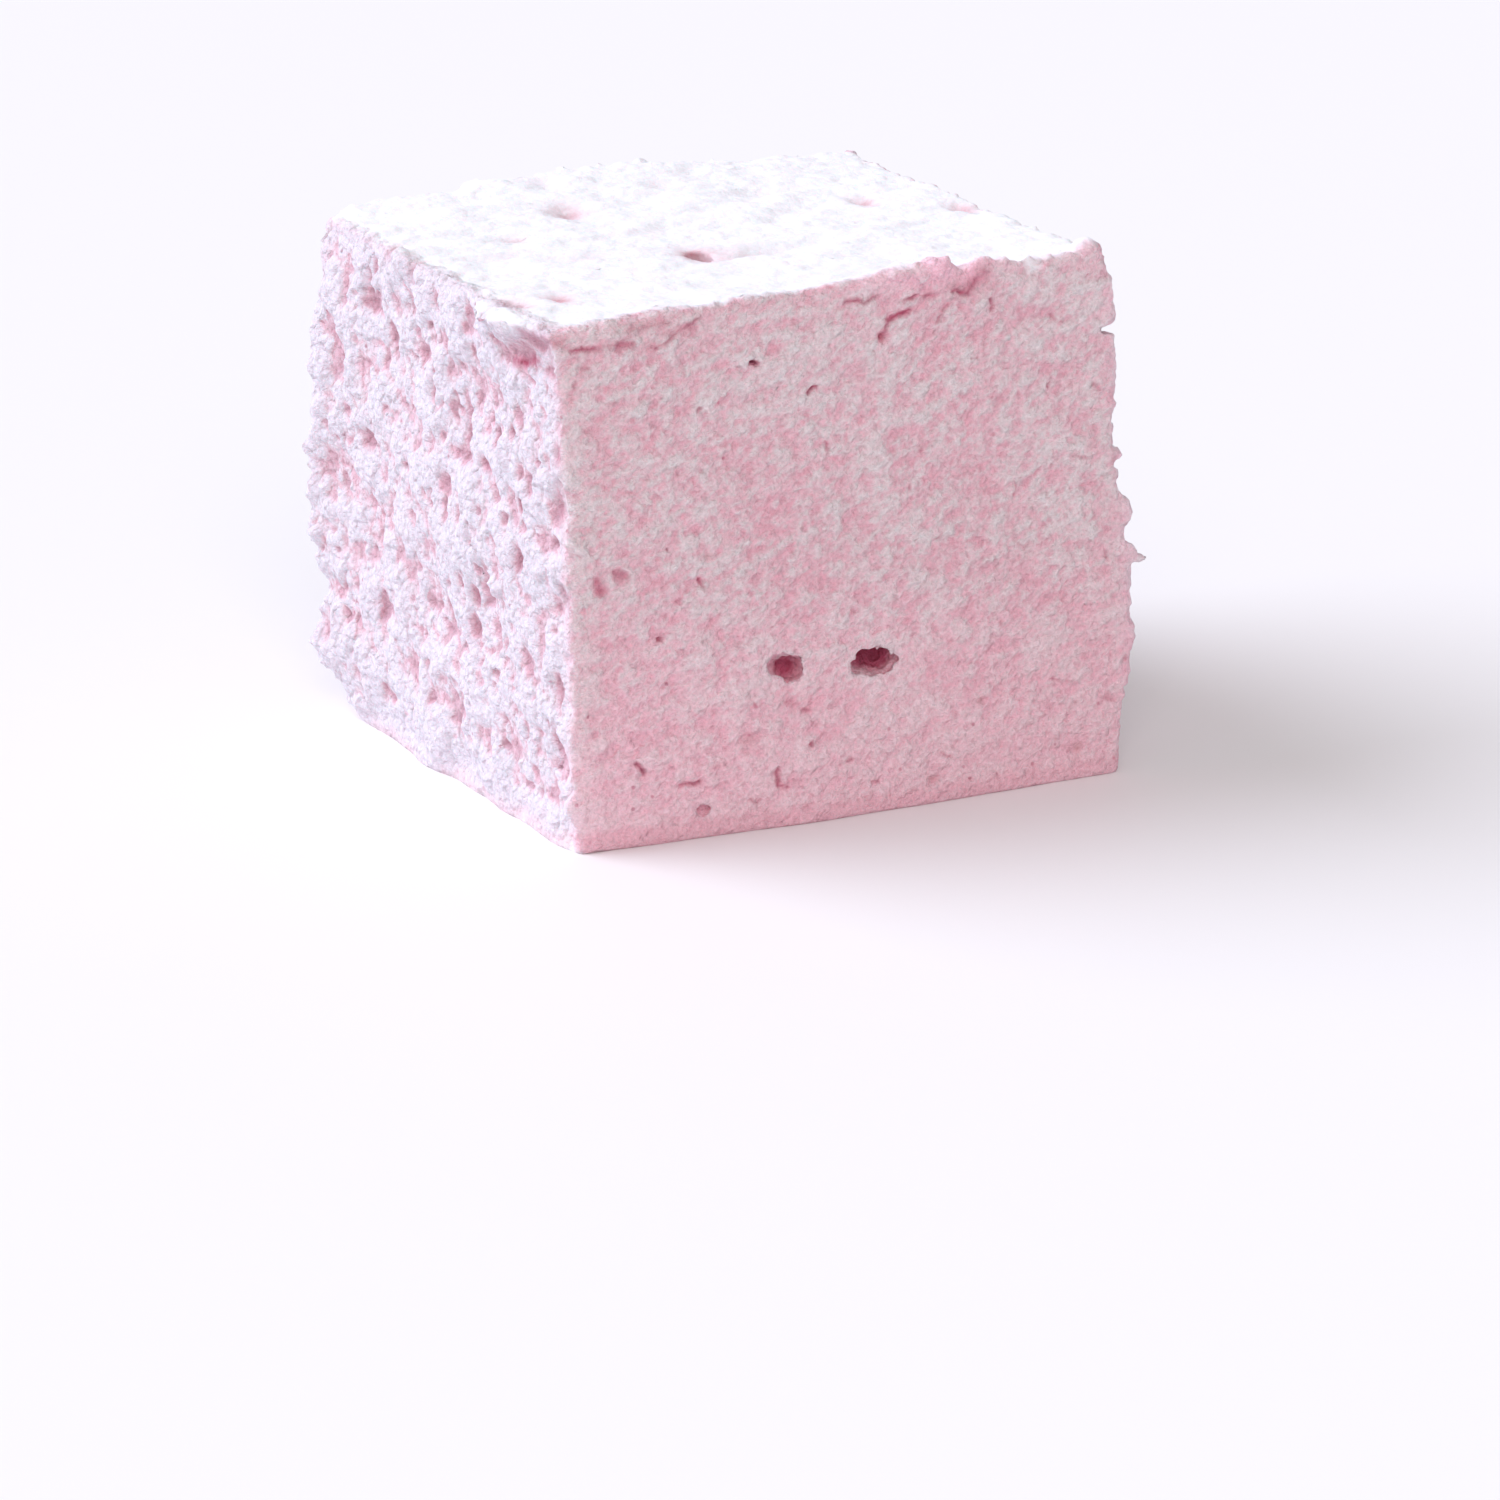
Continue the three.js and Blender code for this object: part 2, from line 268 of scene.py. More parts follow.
# Returns the bubbles, and the middle and radius of each one's rim.
def makeBubbles():
    rng = random.Random(airHoles["seed"])
    lumps = makeLumps(airHoles)
    bm = bmesh.new()
    taken = []
    for sideName in ("top", "front", "right", "back"):
        for hole in airHoles[sideName]:
            addBubble(bm, rng, lumps, sideName, *hole)
            taken.append((placeOn(sideName, hole[0], hole[1]), max(hole[2:4]) / 2))
    for sideName, count in airHoles["scattered"].items():
        reach = half[sides[sideName]["across"]] - airHoles["sideMargin"]
        lowest, highest = airHoles["footMargin"], 2 * half.z - airHoles["footMargin"]
        for _ in range(count):
            across = rng.uniform(-reach, reach)
            up = rng.uniform(lowest, highest)
            wide = chanceRadius(rng, *airHoles["scatteredWidth"], 2)
            tall = wide * rng.uniform(*airHoles["scatteredTallness"])
            deep = wide * rng.uniform(*airHoles["scatteredDepth"])
            at = placeOn(sideName, across, up)
            if all((at - other).length > radius + tall for other, radius in taken):
                addBubble(bm, rng, lumps, sideName, across, up, wide, tall, deep, 0)
                taken.append((at, max(wide, tall) / 2))
    return bm, taken


# Lumps of foam left standing along the cut edges and on the torn sides. They fuse with the block.
crumbs = {
    "seed": 8,
    "forms": 16,
    "subdivisions": 2,
    "unevenness": 0.3,
    "stretch": (0.7, 1.35),  # of a crumb's radius, each way
    "perSide": {"left": (120, 0.25, 0.8), "back": (110, 0.25, 0.8), "right": (50, 0.2, 0.6)},
    "footGap": 0.6,
    "sunk": (0.35, 0.8),  # share of its radius that a crumb's middle lies under the skin
    "uprightSunk": (0.45, 0.95),  # the same in from an upright edge
    "topSunk": (0.4, 0.9),  # and from an edge of the top
    "uprightFoot": 1.6,
    "uprightEdges": [  # side along x and y, how far up, how many, and their radii
        (-1, -1, 30, 34, 0.25, 0.65), (1, -1, 32, 8, 0.3, 0.8), (-1, 1, 24, 26, 0.3, 0.8),
        (1, 1, 32, 50, 0.3, 0.9),
    ],
    "topEdges": [  # axis it looks along, side, where along the edge, how many, and their radii
        (0, -1, (-8, 15), 32, 0.2, 0.6), (0, 1, (-19, 19), 14, 0.15, 0.4), (1, -1, (-17, 3), 20, 0.12, 0.3),
        (1, -1, (3, 18.5), 46, 0.2, 0.5), (1, 1, (-17, 19), 45, 0.2, 0.6),
    ],
    "knobDepth": 0.4,  # how far in from the edge's skin their middles lie
    "rightKnobs": [  # on the front's right edge: height, how far out, and radii
        (23.4, -0.2, (0.6, 0.6, 0.45)), (20.2, 0.2, (0.7, 0.6, 0.4)), (13.4, 0.35, (1.1, 0.5, 0.35)),
        (13.9, 0.0, (0.7, 0.6, 0.8)), (8.6, -0.15, (0.7, 0.7, 1.1)), (5.8, -0.3, (0.6, 0.6, 0.4)),
        (16.6, -0.1, (0.8, 0.8, 1.4)), (33.4, -0.7, (1.0, 0.9, 0.9)),
    ],
    "lipDepth": 0.35,
    "lip": [  # torn edge of the top skin: place along the front, rise, and radii
        (1.6, -0.7, (1.0, 0.5, 0.4)), (2.9, -0.45, (1.2, 0.8, 0.5)), (4.6, -0.3, (1.2, 0.9, 0.6)),
        (5.9, -0.5, (0.9, 1.0, 0.7)), (6.9, -0.4, (1.2, 1.0, 0.75)), (9.1, -0.6, (0.7, 0.7, 0.5)),
        (10.6, -0.35, (0.8, 0.8, 0.65)), (11.9, -0.4, (0.8, 0.7, 0.6)), (13.6, -0.65, (0.5, 0.6, 0.5)),
        (14.9, -0.5, (0.8, 0.7, 0.55)), (16.4, -0.45, (0.9, 0.7, 0.7)), (17.6, -0.5, (0.8, 0.8, 0.8)),
    ],
    "roll": [  # top skin hanging rolled over the torn side: place along it, height, and radii
        (-9.4, 31.9, (0.6, 0.9, 0.7)), (-11.2, 32.6, (0.8, 1.5, 0.5)), (-14.0, 33.0, (0.9, 2.1, 0.4)),
    ],
}


def addCrumb(bm, rng, lumps, at, radius):
    radii = Vector([radius * rng.uniform(*crumbs["stretch"]) for _ in range(3)])
    addCopy(bm, rng.choice(lumps), at, radii, randomTurn(rng))


def addCrumbs(bm):
    rng = random.Random(crumbs["seed"])
    lumps = makeLumps(crumbs)
    centre = Vector((0, 0, half.z))
    for sideName, (count, low, high) in crumbs["perSide"].items():
        side = sides[sideName]
        reach = half[side["across"]]
        for _ in range(count):
            across = rng.uniform(-reach, reach)
            at = placeOn(sideName, across, rng.uniform(crumbs["footGap"], 2 * half.z - crumbs["footGap"]))
            radius = chanceRadius(rng, low, high, 3)
            at[side["axis"]] -= side["sign"] * radius * rng.uniform(*crumbs["sunk"])
            addCrumb(bm, rng, lumps, at, radius)
    for signX, signY, highest, count, low, high in crumbs["uprightEdges"]:
        for _ in range(count):
            height = rng.uniform(crumbs["uprightFoot"], highest)
            at = skinPoint(Vector((signX * half.x, signY * half.y, height)))
            radius = chanceRadius(rng, low, high, 1.5)
            at += Vector((-signX, -signY, 0)).normalized() * radius * rng.uniform(*crumbs["uprightSunk"])
            addCrumb(bm, rng, lumps, at, radius)
    for axis, sign, stretch, count, low, high in crumbs["topEdges"]:
        for _ in range(count):
            boxPoint = Vector((0, 0, topHeight))
            boxPoint[axis] = sign * half[axis]
            boxPoint[1 - axis] = rng.uniform(*stretch)
            radius = chanceRadius(rng, low, high, 2)
            at = skinPoint(boxPoint)
            at += (centre - at).normalized() * radius * rng.uniform(*crumbs["topSunk"])
            addCrumb(bm, rng, lumps, at, radius)
    for height, out, radii in crumbs["rightKnobs"]:
        at = skinPoint(Vector((half.x, -half.y, height)))
        addCopy(bm, rng.choice(lumps), at + Vector((out, crumbs["knobDepth"], 0)), Vector(radii))
    for across, rise, radii in crumbs["lip"]:
        at = skinPoint(Vector((across, -half.y, topHeight)))
        addCopy(bm, rng.choice(lumps), at + Vector((0, crumbs["lipDepth"], rise)), Vector(radii))
    for across, height, radii in crumbs["roll"]:
        at = placeOn("left", across, height)
        addCopy(bm, rng.choice(lumps), at + Vector((crumbs["lipDepth"], 0, 0)), Vector(radii))


# Fine relief of each side, in millimetres: clumps and knobs are what tearing leaves of the foam, pits
# the bubbles it opened, crag the broken ground, ripple the drag of the knife, grain the cut cell walls.
fineRelief = {
    "voxel": 0.14,
    "softenings": 2,
    "cragSize": 2.8,
    "rippleSize": 1.1,
    "rippleRate": 0.3,  # how often it changes along x, against the other ways
    "grainSize": 0.45,
    "top": {"clumps": 0.05, "knobs": 0.04, "pits": 0.0, "crag": 0.16, "ripple": 0.16, "grain": 0.06},
    "front": {"clumps": 0.13, "knobs": 0.10, "pits": 0.0, "crag": 0.20, "ripple": 0.06, "grain": 0.13},
    "left": {"clumps": 0.20, "knobs": 0.08, "pits": 0.50, "crag": 0.36, "ripple": 0.0, "grain": 0.06},
    "right": {"clumps": 0.11, "knobs": 0.08, "pits": 0.0, "crag": 0.22, "ripple": 0.03, "grain": 0.10},
    "back": {"clumps": 0.30, "knobs": 0.10, "pits": 0.4, "crag": 0.30, "ripple": 0.0, "grain": 0.09},
    "under": {"clumps": 0.0, "knobs": 0.0, "pits": 0.0, "crag": 0.0, "ripple": 0.0, "grain": 0.0},
    "least": 0.01,  # amounts under this are left out
    "sideSharpness": 22,  # how soon one side's relief gives way to the next's at an edge
    "finishSharpness": 55,  # the same for the borders of the colours
    "smoothness": 0.65,  # share of the relief that is missing where the foam is bare
    "footHeight": 1.3,  # the slab's smooth bottom skin, below which the relief dies away
    "triangles": 196000,
    "sparing": 0.004,  # how much more of them the marks keep, and half as much the front and the torn side
    "markSparing": 2,  # times a mark's bareness or redness
    "levels": 10,  # steps of the sparing; one's weight stays under a tenth, as a full weight locks points
    "levelWeight": 0.09,
    "rimReach": 1.5,  # radii of an air hole round which all is spared
}

# Heads are round and crowded together, of uneven height.
heads = {
    "clumps": Vector((1.3, 1.3, 1.5)),  # mm from one to the next
    "knobs": Vector((0.62, 0.62, 0.75)),
    "reach": 0.8,  # share of that distance over which a head falls away
    "lowest": 0.4,
    "spread": 0.8,
    "level": 0.45,  # taken off, so that they stand half out and half in
    "sway": 0.35,  # how far their outlines are bent, and how often
    "swayRate": 1.2,
    "shuffle": 7.3,  # turns a head's place into its height by chance
}

# Pits are small round hollows of uneven depth.
pits = {
    "spacing": Vector((1.2, 1.2, 1.0)),
    "reach": 0.36,
    "shallowest": 0.2,
    "spread": 0.9,
    "sway": 0.3,
    "swayRate": 1.1,
    "shuffle": 5.1,
    "fading": (-13, 4, 0.4),  # from where to where along y, and by how much, they grow shallower
}


# How much each point belongs to each side, as one column a side.
def sideWeights(points, sharpness=fineRelief["sideSharpness"]):
    share = (points - np.array(middle)) / np.array(half)
    weights = {name: np.clip(side["sign"] * share[:, side["axis"]], 0, None) ** sharpness
               for name, side in sides.items()}
    total = sum(weights.values()) + 1e-6
    return {name: weight / total for name, weight in weights.items()}


def readPoints(mesh):
    points = np.empty(len(mesh.vertices) * 3, np.float32)
    mesh.vertices.foreach_get("co", points)
    return points.reshape(-1, 3)


def readNormals(mesh):
    normals = np.empty(len(mesh.vertices) * 3, np.float32)
    mesh.vertex_normals.foreach_get("vector", normals)
    return normals.reshape(-1, 3)


def movePoints(mesh, points):
    mesh.vertices.foreach_set("co", points.astype(np.float32).ravel())
    mesh.update()


# How far a point is from the nearest head or pit, and a number by chance that is that one's own.
def nearestForm(point, spacing, settings):
    place = Vector([c / s for c, s in zip(point, spacing)])
    place += settings["sway"] * noise.noise_vector(place * settings["swayRate"])
    distances, points = noise.voronoi(place)
    return distances[0], noise.cell(points[0] * settings["shuffle"])


def headRelief(point, spacing):
    away, chance = nearestForm(point, spacing, heads)
    height = heads["lowest"] + heads["spread"] * chance
    return (1 - min(1, away / heads["reach"]) ** 2) * height - heads["level"]


def pitRelief(point):
    away, chance = nearestForm(point, pits["spacing"], pits)
    depth = pits["shallowest"] + pits["spread"] * chance
    start, end, fading = pits["fading"]
    depth *= 1 - fading * min(1, max(0, (point.y - start) / (end - start)))
    return -depth * math.exp(-(away / pits["reach"]) ** 2)


# Raises and sinks the skin by the relief of its sides, then by its dents and cracks.
def roughen(mesh):
    points, normals = readPoints(mesh), readNormals(mesh)
    weights = sideWeights(points)
    kinds = ("clumps", "knobs", "pits", "crag", "ripple", "grain")
    amounts = np.array([sum(weights[name] * fineRelief[name][kind] for name in sides) for kind in kinds]).T
    height = np.zeros(len(points))
    least = fineRelief["least"]
    for i, point in enumerate(points):
        at = Vector(point)
        clumps, knobs, pitted, crag, ripple, grain = amounts[i]
        rise = crag * noise.fractal(at / fineRelief["cragSize"], 0.9, 2.1, 2)
        rise += grain * noise.fractal(at / fineRelief["grainSize"], 0.8, 2, 2)
        if clumps > least:
            rise += clumps * headRelief(at, heads["clumps"])
        if knobs > least:
            rise += knobs * headRelief(at, heads["knobs"])
        if pitted > least:
            rise += pitted * pitRelief(at)
        if ripple > least:
            drawnOut = Vector((at.x * fineRelief["rippleRate"], at.y, at.z))
            rise += ripple * noise.noise(drawnOut / fineRelief["rippleSize"])
        height[i] = rise
    height *= np.clip(points[:, 2] / fineRelief["footHeight"], 0, 1)
    height *= 1 - fineRelief["smoothness"] * readMarks(points, "barenessAndShade")
    outwards = np.zeros_like(points)
    for name, side in sides.items():
        outwards[:, side["axis"]] += side["sign"] * weights[name]
    points += normals * height[:, None] - outwards * readMarks(points, "depth")[:, None]
    points[:, 2] = np.maximum(points[:, 2], 0)
    movePoints(mesh, points)


# Dents and cracks of each side, as places across and up it. A dent has its reach both ways, its depth
# and how bare its foam is; a crack its half width, depth, bareness, redness and the points it runs by.
# Bareness and redness are the foam's own bare pink and red cracks, and in some marks painted shade:
# under the torn lip, in the hollow under the rolled top skin and in the main pit of the top.
marks = {
    "seed": 4,
    "step": 0.08,
    "wander": 0.16,
    "wanderRate": 1.8,
    "fading": 0.45,  # how much a crack comes and goes along its way
    "fadingRate": 1.6,
    "edgeUnevenness": 0.2,  # mm that a dent's outline is bent, every so many mm
    "unevenEvery": 0.9,
    "steepness": {"top": 1.0, "front": 1.0, "left": 1.1},  # of the dents' walls
    "leastWeight": 0.15,  # of a side, from which its marks count
    "fullWeight": 3,  # one part in so many, from which they count in full
    "crackReach": 2.2,  # half widths to which a crack is worked out
    "leastReach": 0.35,
    "dents": {
        "front": [
            (-6.8, 5.7, 0.6, 0.5, 0.35, 0.6), (5.6, 1.5, 0.5, 0.3, 0.4, 0.8),
            (15.9, 1.9, 0.3, 0.4, 0.4, 0.8), (-9.0, 17.9, 0.25, 0.25, 0.3, 0.7),
            (9.2, 6.0, 0.3, 0.3, 0.3, 0.7), (3.3, 29.9, 0.3, 0.3, 0.5, 0.9),
            # the dent at (9.4, 32.1) lies under the torn lip: its bareness is partly painted shadow
            (9.4, 32.1, 1.6, 0.45, 0.35, 0.4), (-12.4, 31.4, 0.6, 0.4, 0.25, 0.5),
            (-10.3, 32.0, 1.1, 0.35, 0.2, 0.5), (-13.0, 32.6, 1.8, 0.3, 0.15, 0.5),
            (-9.0, 12.5, 3.5, 2.0, 0.15, 0.0), (9.0, 20.0, 4.0, 2.5, 0.15, 0.0),
            (12.5, 14.7, 0.9, 0.3, 0.12, 0.3),
        ],
        "left": [
            # the first four lie under the top skin rolled over this side: their bareness is partly painted
            # shadow of the roll
            (-12.2, 30.8, 1.5, 0.9, 0.45, 0.3), (-14.3, 31.2, 1.6, 0.9, 0.6, 0.65),
            (-16.6, 32.1, 1.5, 0.65, 0.8, 1.1), (-18.2, 32.4, 1.0, 0.3, 0.6, 0.9),
            (-17.2, 30.4, 0.7, 0.5, 0.4, 0.6), (-18.1, 25.5, 0.5, 0.6, 0.7, 1.0),
            (-18.9, 29.0, 0.4, 0.5, 0.4, 0.5), (-4.0, 24.0, 0.7, 1.8, 0.9, 0.7),
            (-3.9, 22.1, 1.6, 0.5, 0.6, 0.6), (-7.6, 22.5, 0.8, 0.45, 0.6, 0.9),
            (-1.0, 19.8, 0.9, 0.8, 0.6, 0.7), (-1.2, 18.3, 0.5, 0.9, 0.6, 0.7),
            (-17.5, 21.9, 0.6, 1.0, 0.6, 0.7), (-17.8, 23.4, 0.5, 0.7, 0.4, 0.5),
            (-18.0, 16.5, 0.5, 0.9, 0.5, 0.5), (-12.7, 21.0, 0.4, 0.7, 0.6, 0.7),
            (-4.7, 13.1, 0.5, 0.6, 0.5, 0.6), (-15.3, 25.0, 0.6, 1.3, 0.4, 0.4),
            (-15.0, 12.6, 0.7, 1.4, 0.4, 0.4), (-17.0, 10.0, 0.5, 1.2, 0.5, 0.5),
            (-9.1, 24.4, 0.5, 0.55, 0.9, 1.2), (-12.0, 17.3, 0.6, 0.9, 0.8, 1.0),
            (-4.5, 11.0, 0.6, 0.85, 0.7, 0.9), (-10.0, 27.3, 0.5, 0.6, 0.5, 0.7),
            (-12.9, 26.5, 0.7, 0.8, 0.4, 0.6), (-14.2, 22.8, 0.5, 1.0, 0.5, 0.6),
            (-2.5, 5.3, 0.6, 0.6, 0.5, 0.6), (2.1, 4.8, 0.8, 0.7, 0.4, 0.4),
            (-16.3, 6.6, 0.6, 1.1, 0.6, 0.8), (-6.5, 14.0, 0.9, 1.2, 0.4, 0.3),
            (-13.0, 11.0, 0.7, 1.3, 0.4, 0.4), (11.5, 19.8, 0.85, 0.85, 0.8, 0.7),
            (11.1, 30.2, 0.4, 1.4, 0.5, 0.3), (10.9, 28.8, 0.9, 0.5, 0.6, 0.6),
            (7.5, 27.1, 0.6, 1.0, 0.5, 0.4), (2.4, 27.4, 0.6, 0.7, 0.4, 0.5),
            (0.4, 25.9, 0.4, 1.1, 0.5, 0.4), (6.7, 33.0, 0.7, 0.8, 0.8, 0.9),
            (3.2, 32.6, 0.5, 0.8, 0.6, 0.7), (-0.6, 31.6, 0.8, 0.7, 0.5, 0.4),
            (17.0, 6.0, 1.2, 1.0, 0.5, 0.4), (18.3, 29.6, 0.7, 1.0, 0.4, 0.3),
            (14.3, 28.6, 0.7, 1.6, 0.3, 0.2), (5.0, 12.5, 1.4, 1.8, 0.4, 0.2),
            (10.0, 9.0, 0.9, 1.2, 0.4, 0.3), (16.9, 16.5, 1.2, 1.8, 0.4, 0.1),
        ],
        "top": [
            (-5.05, 10.5, 1.2, 1.7, 0.6, 0.8), (-17.5, -10.9, 0.9, 1.5, 0.5, 1.2),
            # (-2.5, -4.6) and (-1.6, -5.2) are the main pit of the top: their bareness is partly painted
            # shade on its far wall
            (-14.7, -10.9, 0.8, 1.3, 0.45, 1.2), (-2.5, -4.6, 1.3, 2.1, 0.3, 1.0),
            (-1.6, -5.2, 1.8, 1.8, 0.3, 0.5), (-10.8, 5.9, 0.7, 1.0, 0.35, 0.7),
            (-4.0, 16.6, 0.9, 1.5, 0.35, 0.2), (2.8, 13.5, 0.9, 1.3, 0.3, 0.2),
            (12.9, 3.8, 0.8, 1.4, 0.5, 0.9), (17.6, -1.5, 0.7, 1.3, 0.5, 1.1),
            (1.0, -5.9, 2.6, 1.0, 0.4, 0.25), (-18.4, 7.6, 0.7, 0.9, 0.7, 0.8),
            (-13.5, 2.0, 1.8, 1.0, 0.2, 0.2), (-9.0, -1.5, 2.0, 1.0, 0.2, 0.2),
            (8.5, 9.5, 2.2, 1.2, 0.25, 0.1), (-6.0, -13.0, 3.0, 1.2, 0.2, 0.0),
            (6.5, 2.0, 2.6, 1.2, 0.2, 0.0), (-3.0, 2.8, 3.0, 1.0, 0.2, 0.1),
        ],
    },
    "cracks": {
        "front": [
            (0.16, 0.25, 0.3, 0.8, [(1.0, 32.0), (2.2, 31.8), (3.0, 31.9)]),
            (0.16, 0.25, 0.3, 0.7, [(4.8, 31.5), (5.6, 31.6)]),
            (0.16, 0.25, 0.3, 0.7, [(6.2, 31.6), (7.0, 31.5)]),
            # these three lines are partly red cracks and partly painted shadow under the torn lip
            (0.45, 0.35, 0.4, 0.55, [(8.3, 31.8), (9.4, 32.1), (10.5, 32.4)]),
            (0.20, 0.5, 0.4, 1.0, [(8.2, 31.6), (8.8, 31.9), (9.3, 31.8), (10.0, 32.1)]),
            (0.18, 0.3, 0.3, 0.8, [(10.0, 32.1), (10.35, 32.3), (10.45, 32.6)]),
            (0.14, 0.2, 0.3, 0.9, [(-17.6, 31.9), (-16.9, 31.9), (-16.0, 31.8)]),
            (0.22, 0.2, 0.3, 0.5, [(-15.8, 31.8), (-14.6, 31.9), (-13.4, 31.6)]),
            (0.14, 0.2, 0.3, 0.6, [(-11.9, 31.2), (-11.0, 31.6), (-10.3, 32.0), (-8.8, 32.5)]),
            (0.14, 0.2, 0.3, 0.4, [(-14.5, 32.0), (-12.6, 32.5), (-11.0, 32.6)]),
            (0.16, 0.2, 0.3, 0.9, [(3.3, 29.9), (3.9, 30.8), (5.2, 31.0)]),
            (0.12, 0.2, 0.3, 0.5, [(7.2, 30.3), (7.6, 30.6), (8.0, 30.9)]),
            (0.14, 0.25, 0.3, 0.8, [(11.0, 31.05), (11.05, 30.5)]),
            (0.12, 0.35, 0.3, 0.9, [(-1.7, 27.2), (-1.4, 27.45), (-1.15, 27.4)]),
            (0.34, 0.35, 0.3, 0.6, [(-16.9, 17.3), (-16.7, 16.6)]),
            (0.30, 0.35, 0.3, 0.6, [(-15.5, 17.7), (-14.9, 17.4)]),
            (0.14, 0.3, 0.3, 0.8, [(-14.5, 5.4), (-13.9, 4.6)]),
            (0.14, 0.3, 0.3, 0.8, [(-11.7, 3.6), (-10.9, 3.5), (-10.4, 3.7)]),
            (0.14, 0.3, 0.3, 0.8, [(-5.2, 3.8), (-5.1, 2.7), (-4.5, 2.5)]),
            (0.12, 0.15, 0.2, 0.4, [(17.3, 14.4), (17.5, 13.6)]),
            (0.14, 0.15, 0.2, 0.3, [(11.9, 16.5), (12.0, 15.6), (12.6, 15.3), (13.1, 15.6)]),
            (0.14, 0.25, 0.3, 0.9, [(-3.0, 7.1), (-2.4, 7.0)]),
            (0.3, 0.1, 0.2, 0.35, [(-4.1, 7.9), (-3.7, 7.7)]),
            (0.13, 0.9, 0.5, 1.0, [(-5.55, 29.5), (-5.2, 29.5)]),
            (0.12, 0.2, 0.3, 0.7, [(-9.4, 27.2), (-9.2, 27.25)]),
            (0.18, 0.6, 0.3, 1.0, [(-12.65, 13.1), (-12.55, 13.1)]),
            (0.14, 0.3, 0.3, 0.8, [(-9.7, 16.5), (-9.5, 16.0)]),
            (0.18, 0.4, 0.3, 0.9, [(-2.6, 5.0), (-2.5, 5.1)]),
        ],
        "left": [
            # these two run along the hollow under the rolled top skin: their redness is partly painted
            # shadow
            (0.35, 0, 0.5, 0.4, [(-18.6, 32.5), (-17.0, 32.6), (-15.6, 32.4)]),
            (0.3, 0, 0.3, 0.9, [(-15.9, 31.0), (-14.4, 30.5), (-12.8, 30.3)]),
            (0.30, 0, 0.5, 0.8, [(-18.1, 25.2), (-18.1, 25.8)]),
            (0.25, 0, 0.3, 0.5, [(-9.2, 24.1), (-9.2, 24.5)]),
            (0.25, 0, 0.3, 0.5, [(-12.7, 20.7), (-12.7, 21.2)]),
            (0.30, 0, 0.3, 0.5, [(-17.5, 21.4), (-17.4, 22.0)]),
            (0.25, 0, 0.3, 0.6, [(-12.3, 16.9), (-12.1, 17.3)]),
            (0.25, 0, 0.3, 0.45, [(-4.7, 12.9), (-4.6, 13.3)]),
            (0.30, 0, 0.3, 0.45, [(-18.0, 16.2), (-18.0, 16.8)]),
            (0.25, 0, 0.3, 0.5, [(-7.6, 22.2), (-7.4, 22.5)]),
        ],
        "top": [
            # the main pit of the top: its redness is painted shade on the pit's far wall
            (0.5, 0, 0.5, 0.4, [(-2.6, -4.4), (-2.4, -3.4)]),
            (0.3, 0, 0.3, 0.3, [(-17.9, -10.9), (-17.1, -10.9)]),
            (0.3, 0, 0.3, 0.35, [(-15.0, -10.9), (-14.4, -10.9)]),
            (0.4, 0, 0.3, 0.35, [(17.3, -1.5), (18.0, -1.4)]),
            (0.4, 0, 0.3, 0.2, [(-5.4, 10.6), (-4.6, 10.7)]),
            (0.4, 0, 0.3, 0.25, [(12.6, 3.9), (13.2, 3.9)]),
        ],
    },
}

# Small cracks of the front by chance.
nicks = {
    "count": 36,
    "across": (-18, 18.5),
    "up": (1.2, 32),
    "sparse": 0.3,  # share of them that is left where they aren't crowded
    "crowded": 0.7,
    "lowLeft": ((-9, 4), (8, 5)),  # where they crowd: middle and reach, across and up
    "rightEdge": (18, 2.5),  # across alone
    "heading": (15, 45),  # degrees that they rise, and how far most of them differ from it
    "bend": (-2.5, 2.5),
    "step": 0.2,
    "length": (0.15, 0.9),
    "halfWidth": (0.07, 0.12),
    "depth": (0.05, 0.2),
    "redness": (0.25, 0.7),
}


# Short curved nicks, more of them low on the left and near the right edge.
def makeNicks(rng):
    lines = []
    step = nicks["step"]
    (lowAcross, lowUp), (reachAcross, reachUp) = nicks["lowLeft"]
    edge, edgeReach = nicks["rightEdge"]
    while len(lines) < nicks["count"]:
        across = rng.uniform(*nicks["across"])
        up = rng.uniform(*nicks["up"])
        crowd = math.exp(-((across - lowAcross) / reachAcross) ** 2 - ((up - lowUp) / reachUp) ** 2)
        crowd += math.exp(-((across - edge) / edgeReach) ** 2)
        if rng.random() > nicks["sparse"] + nicks["crowded"] * crowd:
            continue
        heading = math.radians(rng.gauss(*nicks["heading"]))
        bend = rng.uniform(*nicks["bend"])
        line = [(across, up)]
        for _ in range(max(1, round(rng.uniform(*nicks["length"]) / step))):
            across += step * math.cos(heading)
            up += step * math.sin(heading)
            heading += bend * step
            line.append((across, up))
        redness = rng.uniform(*nicks["redness"])
        halfWidth = rng.uniform(*nicks["halfWidth"])
        lines.append((halfWidth, rng.uniform(*nicks["depth"]), redness / 3, redness, line))
    return lines
